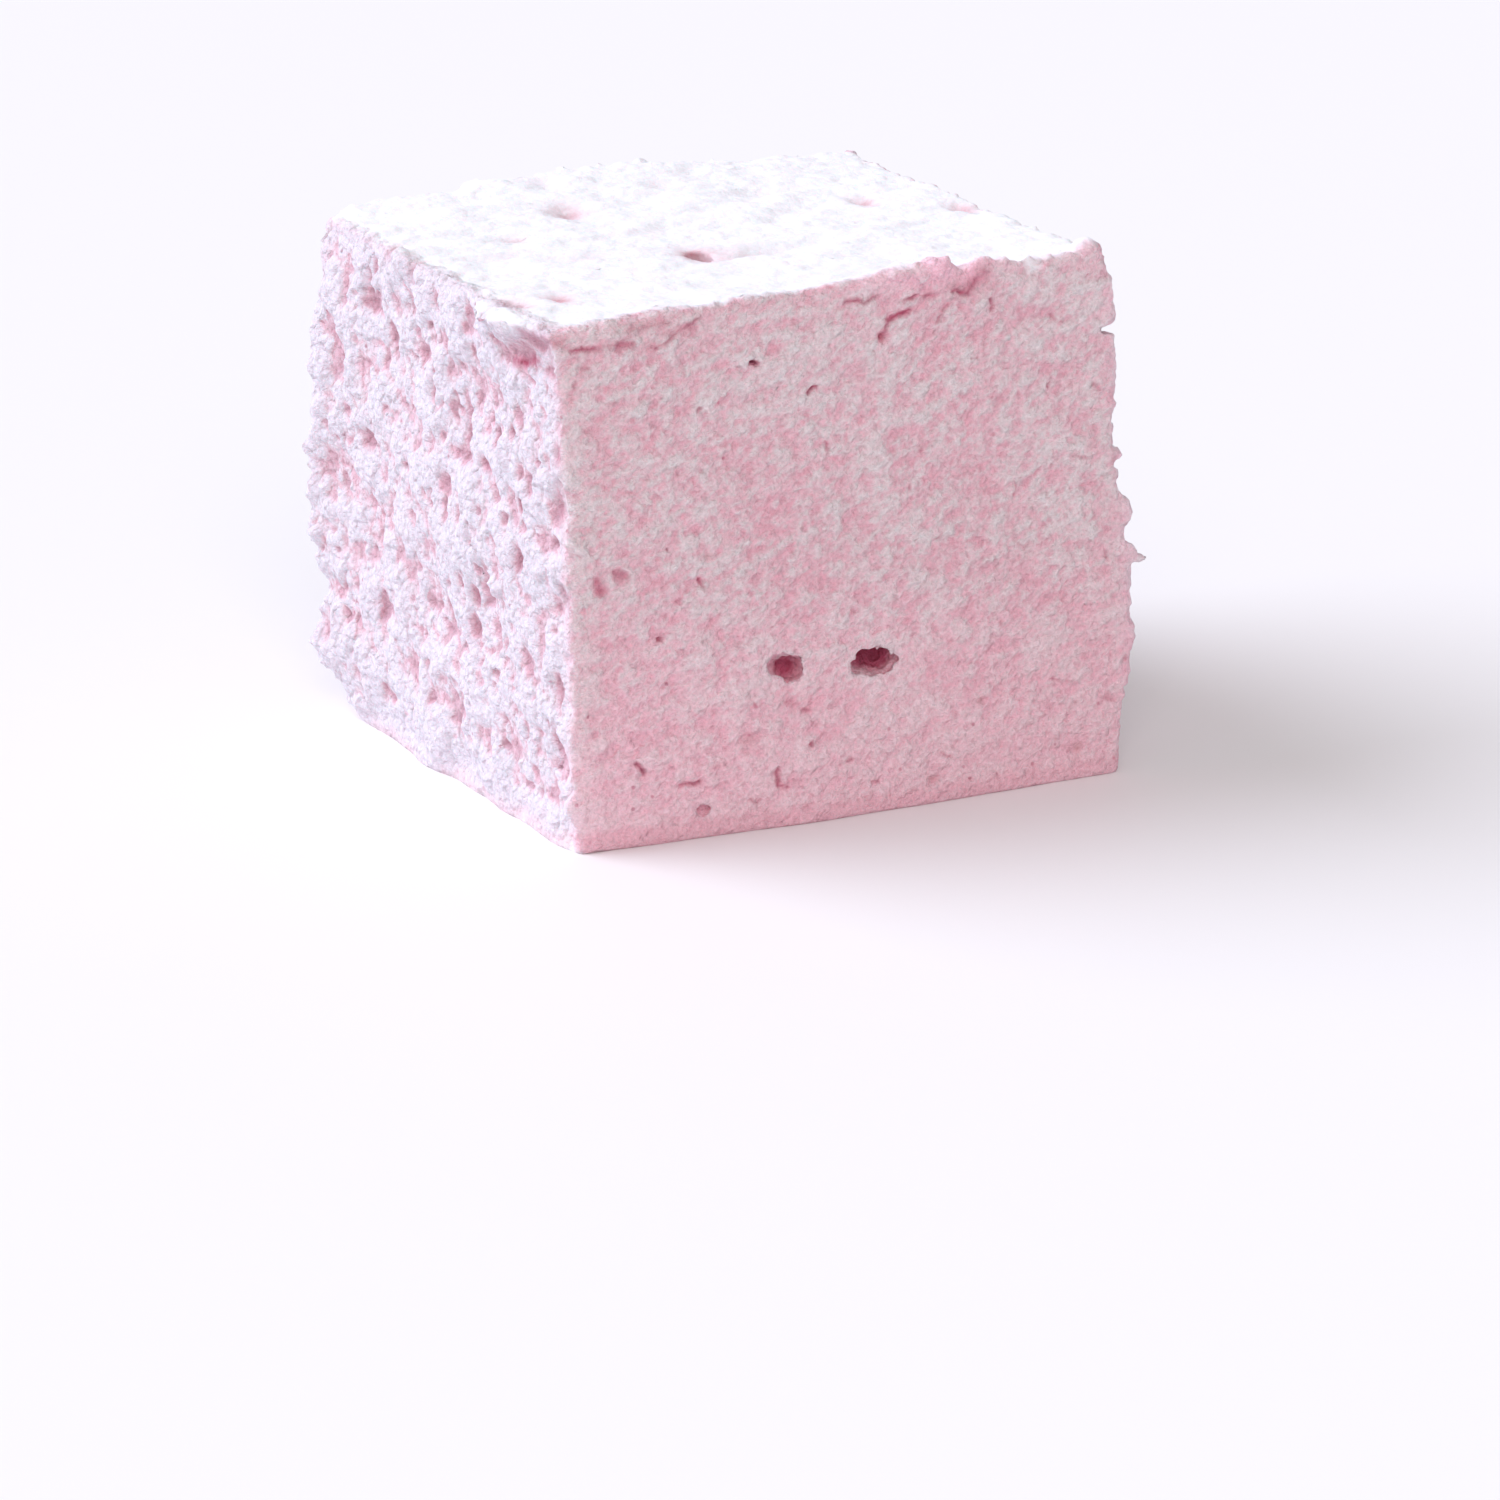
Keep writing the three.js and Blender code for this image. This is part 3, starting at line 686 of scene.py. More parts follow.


# What each point takes from the marks of the sides: their depth, or how bare or how red they are, which in
# some marks is painted shade.
def readMarks(points, kind):
    weights = sideWeights(points)
    values = np.zeros(len(points))
    rng = random.Random(marks["seed"])
    for name in marks["dents"]:
        across, up = sides[name]["across"], sides[name]["up"]
        near = np.flatnonzero(weights[name] > marks["leastWeight"])
        flat = points[near][:, [across, up]].astype(float)
        for i, index in enumerate(near):
            swerve = noise.noise_vector(Vector(points[index]) / marks["unevenEvery"])
            swerve *= marks["edgeUnevenness"]
            flat[i] += (swerve[across], swerve[up])
        found = np.zeros(len(near))
        for dentAcross, dentUp, reachAcross, reachUp, depth, barenessAndShade in marks["dents"][name]:
            centre = placeOn(name, dentAcross, dentUp)
            away = ((flat[:, 0] - centre[across]) / reachAcross) ** 2
            away += ((flat[:, 1] - centre[up]) / reachUp) ** 2
            amount = {"depth": depth, "barenessAndShade": barenessAndShade, "redness": 0}[kind]
            found = np.maximum(found, amount * np.exp(-away ** marks["steepness"][name]))
        tree = KDTree(len(near))
        for i, index in enumerate(near):
            tree.insert((points[index][across], points[index][up], 0), i)
        tree.balance()
        cracks = marks["cracks"][name]
        if name == "front":
            cracks = cracks + makeNicks(rng)
        for halfWidth, depth, barenessAndShade, redness, line in cracks:
            amount = {"depth": depth, "barenessAndShade": barenessAndShade, "redness": redness}[kind]
            reach = max(halfWidth * marks["crackReach"], marks["leastReach"])
            for at in crackPoints(name, line):
                strength = 1 - marks["fading"] * (0.5 + noise.noise(at * marks["fadingRate"]))
                for _, i, away in tree.find_range((at[across], at[up], 0), reach):
                    found[i] = max(found[i], amount * strength * math.exp(-(away / halfWidth) ** 2))
        weight = np.clip(weights[name][near] * marks["fullWeight"], 0, 1)
        values[near] = np.maximum(values[near], found * weight)
    return values


def crackPoints(sideName, line):
    points = []
    for start, end in zip(line, line[1:]):
        length = math.dist(start, end)
        for i in range(int(length / marks["step"]) + 1):
            share = i * marks["step"] / length
            across = start[0] + (end[0] - start[0]) * share
            up = start[1] + (end[1] - start[1]) * share
            place = Vector((across * marks["wanderRate"], up * marks["wanderRate"], line[0][0]))
            wobble = noise.noise_vector(place) * marks["wander"]
            points.append(placeOn(sideName, across + wobble.x, up + wobble.z))
    return points


# Each point moved to the mean of its neighbours, as many times as rounds says.
def smoothedPoints(points, edges, rounds):
    count = np.bincount(edges.ravel(), minlength=len(points)).astype(float)[:, None]
    smooth = points.astype(float)
    for _ in range(rounds):
        total = np.zeros_like(smooth)
        for axis in range(3):
            total[:, axis] = (np.bincount(edges[:, 0], smooth[edges[:, 1], axis], len(points))
                              + np.bincount(edges[:, 1], smooth[edges[:, 0], axis], len(points)))
        smooth = total / count
    return smooth


def writeAttribute(mesh, name, values):
    attribute = mesh.attributes.new(name, "FLOAT", "POINT")
    attribute.data.foreach_set("value", np.asarray(values, np.float32))


# How the foam is finished: each spot has its centre, reach and amount.
finish = {
    "blushes": [  # where it was torn thin or holds no powder, and shows pinker; the pink is also made brighter as painted glow of light through the thin foam
        ((6.9, -19.4, 33.9), (1.6, 1.4, 0.9), 1.0), ((3.8, -19.4, 33.4), (2.6, 1.0, 0.7), 0.6),
        ((10.8, -19.4, 33.8), (1.9, 1.0, 0.7), 0.5), ((9.0, -19.3, 33.3), (1.0, 1.3, 0.8), 0.8),
        ((16.3, -19.4, 33.8), (2.4, 1.2, 0.9), 0.5), ((18.9, -19.1, 33.6), (1.3, 1.4, 1.0), 0.45),
        ((19.2, -19.2, 30.0), (0.8, 1.2, 2.0), 0.4), ((19.7, -19.2, 15.0), (0.7, 1.2, 14), 0.35),
    ],
    "powderedSpots": [  # where the top skin's powder comes down over an edge
        ((13.2, -19.3, 33.2), (0.8, 1.2, 1.1), 1.0), ((-19.8, -9.8, 32.4), (1.5, 2.0, 0.8), 1.0),
        ((-19.8, -14.5, 32.8), (1.5, 3.5, 0.9), 1.0),
    ],
    "blushBareness": 1.6,  # how much powder a blush takes away
    "dusted": {"top": 1.0, "left": 0.25, "back": 0.25, "front": 0.0, "right": 0.1, "under": 0.8},
    "torn": {"top": 0.0, "left": 1.0, "back": 0.8, "front": 0.0, "right": 0.4, "under": 0.0},
    "borderWander": 0.4,  # mm that the borders between the sides' finishes wander, every so many mm
    "wanderEvery": 1.3,
    "borderShift": Vector((-0.3, -0.25, -0.35)),  # keeps the powder back from the front and left edges
    "raisedRounds": 24,
    "raisedMost": 0.12,
    "edgeStart": 0.55,  # a side's weight at its edges, where raised foam doesn't count
    "edgeEnd": 0.2,  # and over how much more it comes to count in full
}


# The most that any of the spots gives each point.
def spotAmounts(points, spots):
    amounts = np.zeros(len(points))
    for centre, reach, amount in spots:
        away = (((points - np.array(centre)) / np.array(reach)) ** 2).sum(1)
        amounts = np.maximum(amounts, amount * np.exp(-away))
    return amounts


# Stores what the material reads: how far each point is raised above its surroundings and sunk under
# the block's plain skin, in millimetres, and how torn, dusted, pink, bare and cracked it is. The pink also
# carries painted glow, and in some marks the bareness and redness carry painted shade.
def markSurface(mesh, plainBlock):
    points, normals = readPoints(mesh), readNormals(mesh)
    edges = np.empty(len(mesh.edges) * 2, np.int32)
    mesh.edges.foreach_get("vertices", edges)
    smooth = smoothedPoints(points, edges.reshape(-1, 2), finish["raisedRounds"])
    raised = np.minimum(((points - smooth) * normals).sum(1), finish["raisedMost"])
    flatness = np.max(list(sideWeights(points).values()), axis=0)  # falls off at the block's own edges
    flatness = np.clip((flatness - finish["edgeStart"]) / finish["edgeEnd"], 0, 1)
    writeAttribute(mesh, "raised", raised * flatness)
    sunk = np.zeros(len(points))
    shifted = points.copy()
    for i, point in enumerate(points):
        at = Vector(point)
        place, normal, _, _ = plainBlock.find_nearest(at)
        sunk[i] = (place - at).dot(normal)
        wander = noise.turbulence_vector(at / finish["wanderEvery"], 2, False) * finish["borderWander"]
        shifted[i] += np.array(wander + finish["borderShift"])
    writeAttribute(mesh, "sunk", sunk)
    weights = sideWeights(shifted, fineRelief["finishSharpness"])
    powder = sum(weights[name] * finish["dusted"][name] for name in sides)
    powder = np.maximum(powder, spotAmounts(shifted, finish["powderedSpots"]))
    blush = spotAmounts(points, finish["blushes"])
    writeAttribute(mesh, "dusted", powder * np.clip(1 - finish["blushBareness"] * blush, 0, 1))
    writeAttribute(mesh, "torn", sum(weights[name] * finish["torn"][name] for name in sides))
    writeAttribute(mesh, "blush", blush)
    writeAttribute(mesh, "bareAndShaded", readMarks(points, "barenessAndShade"))
    writeAttribute(mesh, "crackedAndShaded", readMarks(points, "redness"))
    writeAttribute(mesh, "height", points[:, 2])


# Returns the cube, and how far it was moved to stand in the solid's box.
def makeMarshmallow():
    plainBlock = makeBlock()
    plainTree = BVHTree.FromBMesh(plainBlock)
    body = makeObject(plainBlock, "marshmallow_cube")
    bubbleForms, rims = makeBubbles()
    bubbles = makeObject(bubbleForms, "bubbles")
    fuse(bubbles, airHoles["voxel"], 1)
    cut = body.modifiers.new("airHoles", "BOOLEAN")
    cut.operation = "DIFFERENCE"
    cut.solver = "MANIFOLD"
    cut.object = bubbles
    applyModifiers(body)
    bpy.data.objects.remove(bubbles)
    print("block with air holes:", len(body.data.polygons), "faces")

    bm = bmesh.new()
    bm.from_mesh(body.data)
    addCrumbs(bm)
    bm.to_mesh(body.data)
    bm.free()
    fuse(body, fineRelief["voxel"], fineRelief["softenings"])
    print("fused with its crumbs:", len(body.data.vertices), "vertices")

    roughen(body.data)
    print("roughened")

    points = readPoints(body.data)
    weights = sideWeights(points)
    marked = np.maximum(readMarks(points, "barenessAndShade"), readMarks(points, "redness"))
    spared = np.maximum((weights["left"] + weights["front"]) / 2, marked * fineRelief["markSparing"])
    for place, radius in rims:
        away = ((points - np.array(place)) ** 2).sum(1)
        spared[away < (radius * fineRelief["rimReach"]) ** 2] = 1
    group = body.vertex_groups.new(name="spared")
    levels = np.round(np.clip(spared, 0, 1) * fineRelief["levels"]).astype(int)
    for level in range(1, fineRelief["levels"] + 1):
        group.add(np.flatnonzero(levels == level).tolist(), level * fineRelief["levelWeight"], "REPLACE")
    thin = body.modifiers.new("thin", "DECIMATE")
    thin.ratio = fineRelief["triangles"] / (2 * len(body.data.polygons))  # they are squares until then
    thin.vertex_group = "spared"
    thin.invert_vertex_group = True
    thin.vertex_group_factor = fineRelief["sparing"]
    thin.use_collapse_triangulate = True
    applyModifiers(body)
    print("thinned:", len(body.data.polygons), "triangles")

    low = Vector(readPoints(body.data).min(0).tolist())
    high = Vector(readPoints(body.data).max(0).tolist())
    markSurface(body.data, plainTree)
    print("marked for its material")
    shift = (boxLow + boxHigh) / 2 - (low + high) / 2
    shift.z = 0
    body.data.transform(Matrix.Translation(shift))
    body.data.transform(Matrix.Scale(mm, 4))
    for polygon in body.data.polygons:
        polygon.use_smooth = True
    return body, shift


# Colours are sRGB hex, made linear here.
def linearColour(hexColour):
    channels = [int(hexColour[i:i + 2], 16) / 255 for i in (1, 3, 5)]
    return [c / 12.92 if c <= 0.04045 else ((c + 0.055) / 1.055) ** 2.4 for c in channels] + [1]


def perMetre(sizeInMm):
    return 1 / (sizeInMm * mm)


# Adds a node and returns one of its outputs: settings are its properties, inputs its sockets' values
# or the outputs linked to them.
def addNode(tree, kind, inputs, output=0, **settings):
    node = tree.nodes.new(kind)
    for name, value in settings.items():
        setattr(node, name, value)
    for name, value in inputs.items():
        if isinstance(value, bpy.types.NodeSocket):
            tree.links.new(value, node.inputs[name])
        else:
            node.inputs[name].default_value = value
    return node.outputs[output]


# Whipped sugar and gelatine foam: matt, full of tiny cells, rose where it was cut through and
# whiter where icing sugar and starch cling to it. Light goes a little way into it. Lengths are in
# millimetres; a colour begins at its start, and at its full it has its whole share.
foam = {
    "mottle": [  # from the barest foam to the most powder
        (0.30, "#e9b4c1"), (0.42, "#eac1cb"), (0.51, "#e9cbd2"), (0.60, "#e8d5d9"), (0.74, "#e9dde0"),
    ],
    "patchSize": 0.9,
    "patchHeight": 0.60,
    "cutTilt": -28,  # degrees that the knife tilted the patches, and how far it drew them out
    "cutStretch": (1.5, 1, 0.8),
    "driftSize": 7.0,
    "driftShare": 0.3,
    "raisedPaleAndShadeShare": 0.8,  # how much paler raised foam is and darker sunk foam, a millimetre of rise: partly powder on raised foam, partly painted shade in the creases
    "tornColour": "#e2dbe5",  # heads of the torn sides, whiter the more they are raised
    "tornStart": -0.13,
    "tornFull": 0.03,
    "tornLeast": 0.3,
    "tornMost": 0.97,
    "hollowShadeColour": "#cca1ae",  # the hollows between them: bare pink foam, darkened as painted shade
    "hollowShadeStart": -0.06,
    "hollowShadeFull": -0.26,
    "hollowShadeShare": 0.85,
    "lowerLightColour": "#ffcbd9",  # painted light: brighter, pinker colour on the lower part of the cut sides, by its height
    "lowerLightStart": 16.0,
    "lowerLightFull": 2.0,
    "lowerLightShare": 0.56,
    "dustColour": "#f4f4f8",
    "powderStart": 0.35,  # dusting from which powder shows, and at which it covers all
    "powderFull": 0.8,
    "powderSoftness": 0.82,  # share of the finest relief that the powder fills
    "bareAndShadeColour": "#d6a5ac",
    "bareFull": 0.9,
    "bareShare": 0.85,
    # bare pink foam, made brighter as painted glow of light through the thin torn foam
    "blushAndGlowColour": "#ffcbdb",
    "footColour": "#ecb3c1",  # the slab's bottom skin, by its height
    "footUnevenness": 1.6,
    "footStart": 2.3,
    "footFull": 1.7,
    "footShare": 0.6,
    "caveShadeColour": "#c25c79",  # painted shade inside the air holes, darker pink the deeper they are sunk
    "caveStart": 0.75,
    "caveFull": 1.6,
    "caveShare": 0.95,
    "caveTorn": 0.75,  # share of that painted shade left out on the torn sides
    # red of the cracks, also used as painted shade under the torn lip and in the main pit of the top
    "crackAndShadeColour": "#b33a60",
    "speckSpacing": 1.3,  # pinprick bubbles
    "speckRarity": 0.62,  # share of the places where none is
    "speckReach": 0.13,
    "speckStrength": 0.45,
    "fuzzSize": 0.24,
    "fuzzHeight": 0.18,
    "fuzzShade": 0.25,
    "tornFuzz": 0.4,  # how much of the fuzz the torn sides have
    "knobSize": 0.5,  # finest heads, tallest on the torn sides
    "knobHeight": 0.24,
    "cutKnobs": 0.75,  # how much of them the knife leaves
    "streakSize": 0.8,  # drag marks in the powder of the top skin
    "streakHeight": 0.09,
    "streakStretch": (0.35, 1, 1),
    "roughness": 0.9,
    "ior": 1.45,
    "specular": 0.25,
    "lightShare": 0.3,  # of the light goes into the foam, so deep, and each colour of it so far
    "lightDepth": 0.7,
    "lightReach": (1.0, 0.55, 0.6),
}


def makeWhippedFoam():
    material = bpy.data.materials.new("whipped_marshmallow_foam")
    material.use_nodes = True
    tree = material.node_tree
    tree.nodes.clear()
    place = addNode(tree, "ShaderNodeTexCoord", {}, "Object")
    raised, sunk, dusted, torn, blush, bareAndShaded, crackedAndShaded, height = (
        addNode(tree, "ShaderNodeAttribute", {}, "Fac", attribute_name=name)
        for name in ("raised", "sunk", "dusted", "torn", "blush", "bareAndShaded", "crackedAndShaded", "height"))
    unTorn = addNode(tree, "ShaderNodeMath", {0: 1.0, 1: torn}, operation="SUBTRACT")

    # Pink foam and paler powder, in patches drawn out the way the knife went; raised foam is paler and sunk
    # foam pinker and darker, partly powder staying on raised foam and partly painted shade in the creases.
    cutWay = addNode(tree, "ShaderNodeMapping", {
        "Vector": place, "Rotation": (0, math.radians(foam["cutTilt"]), 0), "Scale": foam["cutStretch"]},
        vector_type="TEXTURE")
    patches = addNode(tree, "ShaderNodeTexNoise", {
        "Vector": cutWay, "Scale": perMetre(foam["patchSize"]), "Detail": 3, "Roughness": 0.6})
    drift = addNode(tree, "ShaderNodeTexNoise", {
        "Vector": place, "Scale": perMetre(foam["driftSize"]), "Detail": 2})
    drift = addNode(tree, "ShaderNodeMath", {0: drift, 1: 0.5}, operation="SUBTRACT")
    mottle = addNode(tree, "ShaderNodeMath", {0: drift, 1: foam["driftShare"], 2: patches},
                     operation="MULTIPLY_ADD")
    mottle = addNode(tree, "ShaderNodeMath", {0: raised, 1: foam["raisedPaleAndShadeShare"], 2: mottle},
                     operation="MULTIPLY_ADD")
    base = addNode(tree, "ShaderNodeValToRGB", {"Fac": mottle}, "Color")
    elements = base.node.color_ramp.elements
    while len(elements) < len(foam["mottle"]):
        elements.new(0.5)
    for element, (position, colour) in zip(elements, foam["mottle"]):
        element.position = position
        element.color = linearColour(colour)

    # Torn sides: white heads, with pinker and darker colour in the hollows between them, partly bare foam
    # and partly painted shade.
    whiteness = addNode(tree, "ShaderNodeMapRange", {
        "Value": raised, "From Min": foam["tornStart"], "From Max": foam["tornFull"],
        "To Min": foam["tornLeast"], "To Max": foam["tornMost"]})
    whiteness = addNode(tree, "ShaderNodeMath", {0: whiteness, 1: torn}, operation="MULTIPLY")
    hollowShade = addNode(tree, "ShaderNodeMapRange", {
        "Value": raised, "From Min": foam["hollowShadeStart"], "From Max": foam["hollowShadeFull"],
        "To Max": foam["hollowShadeShare"]})
    hollowShade = addNode(tree, "ShaderNodeMath", {0: hollowShade, 1: torn}, operation="MULTIPLY")

    # Painted light: lower down the cut sides the foam is coloured brighter and pinker.
    lowerLight = addNode(tree, "ShaderNodeMapRange", {
        "Value": height, "From Min": foam["lowerLightStart"], "From Max": foam["lowerLightFull"],
        "To Max": foam["lowerLightShare"]})
    lowerLight = addNode(tree, "ShaderNodeMath", {0: lowerLight, 1: unTorn}, operation="MULTIPLY")

    # The top skin's powder, and what of the finest forms shows through it.
    powder = addNode(tree, "ShaderNodeMapRange", {
        "Value": dusted, "From Min": foam["powderStart"], "From Max": foam["powderFull"]})
    showing = addNode(tree, "ShaderNodeMapRange", {
        "Value": dusted, "From Min": foam["powderStart"], "From Max": foam["powderFull"],
        "To Min": 1.0, "To Max": 1 - foam["powderSoftness"]})

    # Foam laid bare in dents and cracks, more of it between the patches of powder; in some dents this
    # colour is painted shade.
    barenessAndShade = addNode(tree, "ShaderNodeMapRange", {
        "Value": bareAndShaded, "From Max": foam["bareFull"], "To Max": foam["bareShare"]})
    uneven = addNode(tree, "ShaderNodeMapRange", {
        "Value": patches, "From Min": 0.3, "From Max": 0.6, "To Min": 1.15, "To Max": 0.65})
    barenessAndShade = addNode(tree, "ShaderNodeMath", {0: barenessAndShade, 1: uneven}, operation="MULTIPLY")
    bareAndShadeTint = addNode(tree, "ShaderNodeMix", {
        0: torn, 6: linearColour(foam["bareAndShadeColour"]), 7: linearColour(foam["hollowShadeColour"])}, 2,
        data_type="RGBA")

    # The slab's bottom skin, along the foot of the cut sides, and painted shade: deep pink darkening the
    # inside of the air holes the deeper they are sunk.
    footEdge = addNode(tree, "ShaderNodeMath", {0: patches, 1: foam["footUnevenness"], 2: height},
                       operation="MULTIPLY_ADD")
    foot = addNode(tree, "ShaderNodeMapRange", {
        "Value": footEdge, "From Min": foam["footStart"], "From Max": foam["footFull"],
        "To Max": foam["footShare"]})
    unPowdered = addNode(tree, "ShaderNodeMath", {0: 1.0, 1: powder}, operation="SUBTRACT")
    foot = addNode(tree, "ShaderNodeMath", {0: foot, 1: unTorn}, operation="MULTIPLY")
    foot = addNode(tree, "ShaderNodeMath", {0: foot, 1: unPowdered}, operation="MULTIPLY")
    caveShade = addNode(tree, "ShaderNodeMapRange", {
        "Value": sunk, "From Min": foam["caveStart"], "From Max": foam["caveFull"],
        "To Max": foam["caveShare"]})
    shallower = addNode(tree, "ShaderNodeMapRange", {
        "Value": torn, "To Min": 1.0, "To Max": 1 - foam["caveTorn"]})
    caveShade = addNode(tree, "ShaderNodeMath", {0: caveShade, 1: shallower}, operation="MULTIPLY")

    # Pinprick bubbles, in some of the cells of an even scatter, as red as the cracks.
    specks = addNode(tree, "ShaderNodeTexVoronoi", {
        "Vector": place, "Scale": perMetre(foam["speckSpacing"])}, "Distance")
    cellColour = specks.node.outputs["Color"]
    chosen = addNode(tree, "ShaderNodeMath", {0: cellColour, 1: foam["speckRarity"]},
                     operation="GREATER_THAN")
    specks = addNode(tree, "ShaderNodeMapRange", {
        "Value": specks, "From Min": foam["speckReach"], "From Max": foam["speckReach"] / 2,
        "To Max": foam["speckStrength"]})
    specks = addNode(tree, "ShaderNodeMath", {0: specks, 1: chosen}, operation="MULTIPLY")
    specks = addNode(tree, "ShaderNodeMath", {0: specks, 1: showing}, operation="MULTIPLY")
    redness = addNode(tree, "ShaderNodeMath", {0: crackedAndShaded, 1: specks}, operation="MAXIMUM")

    # Each of them lies over those before it.
    layers = [
        (whiteness, linearColour(foam["tornColour"])), (hollowShade, linearColour(foam["hollowShadeColour"])),
        (lowerLight, linearColour(foam["lowerLightColour"])), (powder, linearColour(foam["dustColour"])),
        (barenessAndShade, bareAndShadeTint), (blush, linearColour(foam["blushAndGlowColour"])),
        (foot, linearColour(foam["footColour"])), (caveShade, linearColour(foam["caveShadeColour"])),
        (redness, linearColour(foam["crackAndShadeColour"])),
    ]
    for share, colour in layers:
        base = addNode(tree, "ShaderNodeMix", {0: share, 6: base, 7: colour}, 2, data_type="RGBA")

    # Fuzz of cut cell walls all over, and painted shade with it: the colour is darker where the fuzz's bump
    # sinks and lighter where it rises.
    fuzz = addNode(tree, "ShaderNodeTexNoise", {
        "Vector": place, "Scale": perMetre(foam["fuzzSize"]), "Detail": 3, "Roughness": 0.65})
    shade = addNode(tree, "ShaderNodeMapRange", {
        "Value": fuzz, "From Min": 0.3, "From Max": 0.7,
        "To Min": 1 - foam["fuzzShade"] / 2, "To Max": 1 + foam["fuzzShade"] / 2})
    shade = addNode(tree, "ShaderNodeMath", {0: shade, 1: 1.0}, operation="SUBTRACT")
    shade = addNode(tree, "ShaderNodeMath", {0: shade, 1: showing, 2: 1.0}, operation="MULTIPLY_ADD")
    base = addNode(tree, "ShaderNodeVectorMath", {0: base, "Scale": shade}, operation="SCALE")

    # The finest relief is a bump: the fuzz, the patches, the heads, and the streaks in the powder.
    fuzzHeight = addNode(tree, "ShaderNodeMapRange", {
        "Value": torn, "To Min": foam["fuzzHeight"], "To Max": foam["fuzzHeight"] * foam["tornFuzz"]})
    relief = addNode(tree, "ShaderNodeMath", {0: fuzz, 1: fuzzHeight}, operation="MULTIPLY")
    relief = addNode(tree, "ShaderNodeMath", {0: patches, 1: foam["patchHeight"], 2: relief},
                     operation="MULTIPLY_ADD")
    knobs = addNode(tree, "ShaderNodeTexVoronoi", {
        "Vector": place, "Scale": perMetre(foam["knobSize"]), "Randomness": 1.0}, "Distance")
    knobs = addNode(tree, "ShaderNodeMath", {0: knobs, 1: 2}, operation="POWER")
    knobShare = addNode(tree, "ShaderNodeMath", {0: torn, 1: foam["cutKnobs"]}, operation="MAXIMUM")
    knobs = addNode(tree, "ShaderNodeMath", {0: knobs, 1: knobShare}, operation="MULTIPLY")
    relief = addNode(tree, "ShaderNodeMath", {0: knobs, 1: -foam["knobHeight"], 2: relief},
                     operation="MULTIPLY_ADD")
    relief = addNode(tree, "ShaderNodeMath", {0: relief, 1: showing}, operation="MULTIPLY")
    dragged = addNode(tree, "ShaderNodeMapping", {"Vector": place, "Scale": foam["streakStretch"]})
    streaks = addNode(tree, "ShaderNodeTexNoise", {
        "Vector": dragged, "Scale": perMetre(foam["streakSize"]), "Detail": 2})
    streaks = addNode(tree, "ShaderNodeMath", {0: streaks, 1: dusted}, operation="MULTIPLY")
    relief = addNode(tree, "ShaderNodeMath", {0: streaks, 1: foam["streakHeight"], 2: relief},
                     operation="MULTIPLY_ADD")
    bump = addNode(tree, "ShaderNodeBump", {"Strength": 1.0, "Distance": mm, "Height": relief})

    surface = addNode(tree, "ShaderNodeBsdfPrincipled", {
        "Base Color": base, "Normal": bump, "Roughness": foam["roughness"], "IOR": foam["ior"],
        "Specular IOR Level": foam["specular"], "Subsurface Weight": foam["lightShare"],
        "Subsurface Scale": foam["lightDepth"] * mm, "Subsurface Radius": foam["lightReach"]})
    output = tree.nodes.new("ShaderNodeOutputMaterial")
    tree.links.new(surface, output.inputs["Surface"])
    output.is_active_output = True
    return material


studio = {
    "floorSize": 3.0,
    "floorColour": "#f5f4f4",
    "floorRoughness": 0.6,
    "key": {"turn": -128, "height": 38, "strength": 2.8, "softness": 50, "colour": "#edf0ff"},
    "fill": {"turn": -22, "height": 32, "strength": 0.95, "softness": 30, "colour": "#fff6f4"},
    "skyStrength": 0.5,
    "skyColour": "#fbf8fc",
}


# A sun from so many degrees round from the front, and so high.
def makeSun(name, settings):
    sun = bpy.data.lights.new(name, "SUN")
    sun.energy = settings["strength"]
    sun.angle = math.radians(settings["softness"])
    sun.color = linearColour(settings["colour"])[:3]
    obj = bpy.data.objects.new(name, sun)
    turn, height = math.radians(settings["turn"]), math.radians(settings["height"])
    towards = Vector((math.sin(turn) * math.cos(height), -math.cos(turn) * math.cos(height),
                      math.sin(height)))
    obj.rotation_euler = towards.to_track_quat("Z", "Y").to_euler()
    bpy.context.scene.collection.objects.link(obj)


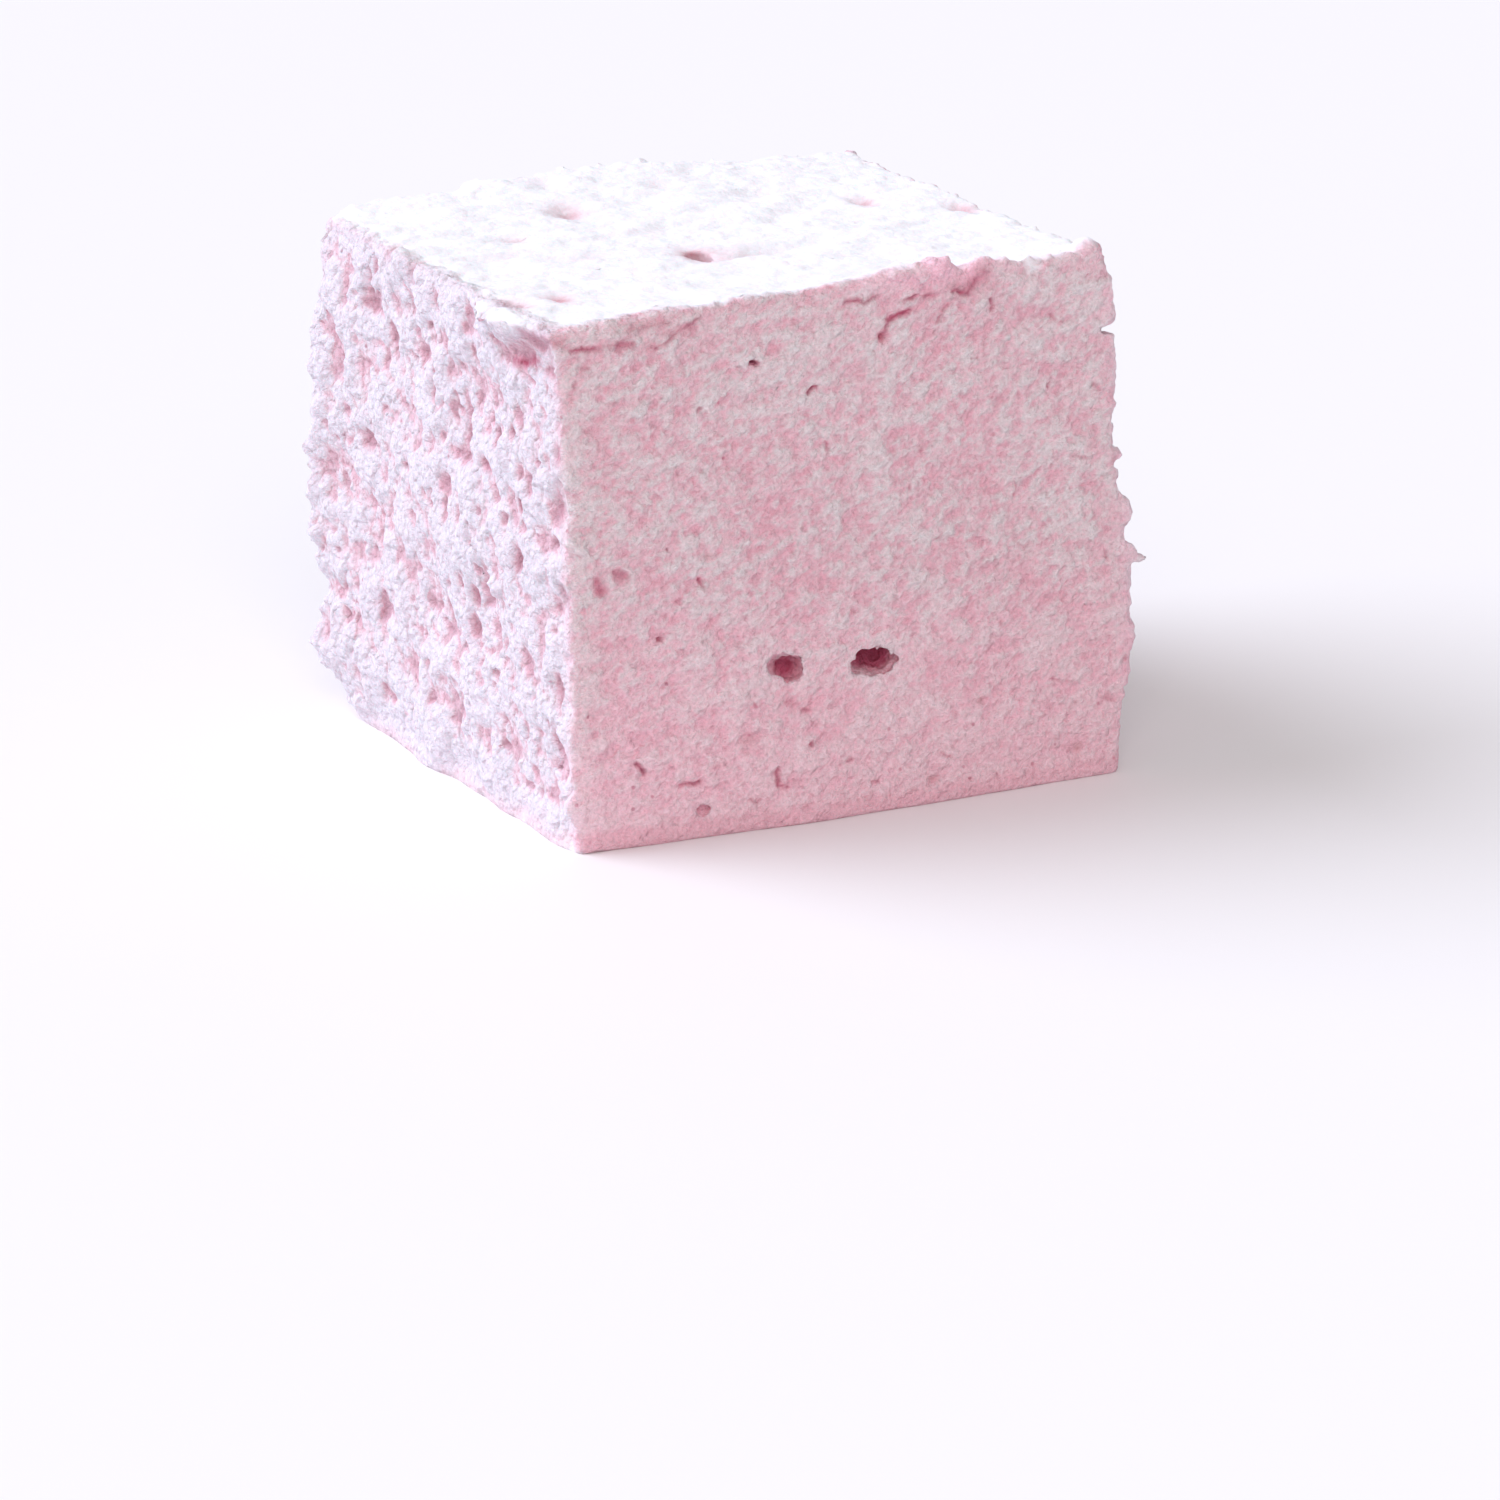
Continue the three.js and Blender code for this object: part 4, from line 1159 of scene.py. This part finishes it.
def makeStudio():
    bm = bmesh.new()
    bmesh.ops.create_grid(bm, x_segments=2, y_segments=2, size=studio["floorSize"] / 2)
    floor = makeObject(bm, "studio_floor")
    material = bpy.data.materials.new("matt_white_laminate")  # pale and even, with a hint of sheen
    material.use_nodes = True
    surface = material.node_tree.nodes["Principled BSDF"]
    surface.inputs["Base Color"].default_value = linearColour(studio["floorColour"])
    surface.inputs["Roughness"].default_value = studio["floorRoughness"]
    floor.data.materials.append(material)
    makeSun("key", studio["key"])
    makeSun("fill", studio["fill"])
    world = bpy.data.worlds.new("soft_room")
    world.use_nodes = True
    background = world.node_tree.nodes["Background"]
    background.inputs["Color"].default_value = linearColour(studio["skyColour"])
    background.inputs["Strength"].default_value = studio["skyStrength"]
    bpy.context.scene.world = world
    bpy.context.scene.view_settings.view_transform = "Standard"


camera = {
    "target": Vector((1.988, 0, -1.223)),  # mm, from the middle of the cube's foot
    "distance": 409.066,
    "azimuth": -24.37,
    "elevation": 16.933,
    "roll": -1.686,
    "lens": 151.2,
    "sensor": 36,
}


def makeCamera(shift):
    azimuth, elevation = math.radians(camera["azimuth"]), math.radians(camera["elevation"])
    back = Vector((math.sin(azimuth) * math.cos(elevation), -math.cos(azimuth) * math.cos(elevation),
                   math.sin(elevation)))
    place = (camera["target"] + shift + back * camera["distance"]) * mm
    roll = Matrix.Rotation(math.radians(camera["roll"]), 4, "Z")
    data = bpy.data.cameras.new("camera")
    data.lens = camera["lens"]
    data.sensor_width = camera["sensor"]
    data.clip_start = 0.01
    obj = bpy.data.objects.new("camera", data)
    obj.matrix_world = Matrix.Translation(place) @ back.to_track_quat("Z", "Y").to_matrix().to_4x4() @ roll
    bpy.context.scene.collection.objects.link(obj)
    bpy.context.scene.camera = obj


cube, cubeShift = makeMarshmallow()
cube.data.materials.clear()
cube.data.materials.append(makeWhippedFoam())
print("foam put on")
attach(cube, "root")
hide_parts("marshmallow")
makeStudio()
makeCamera(cubeShift)
print("studio lit and camera placed")
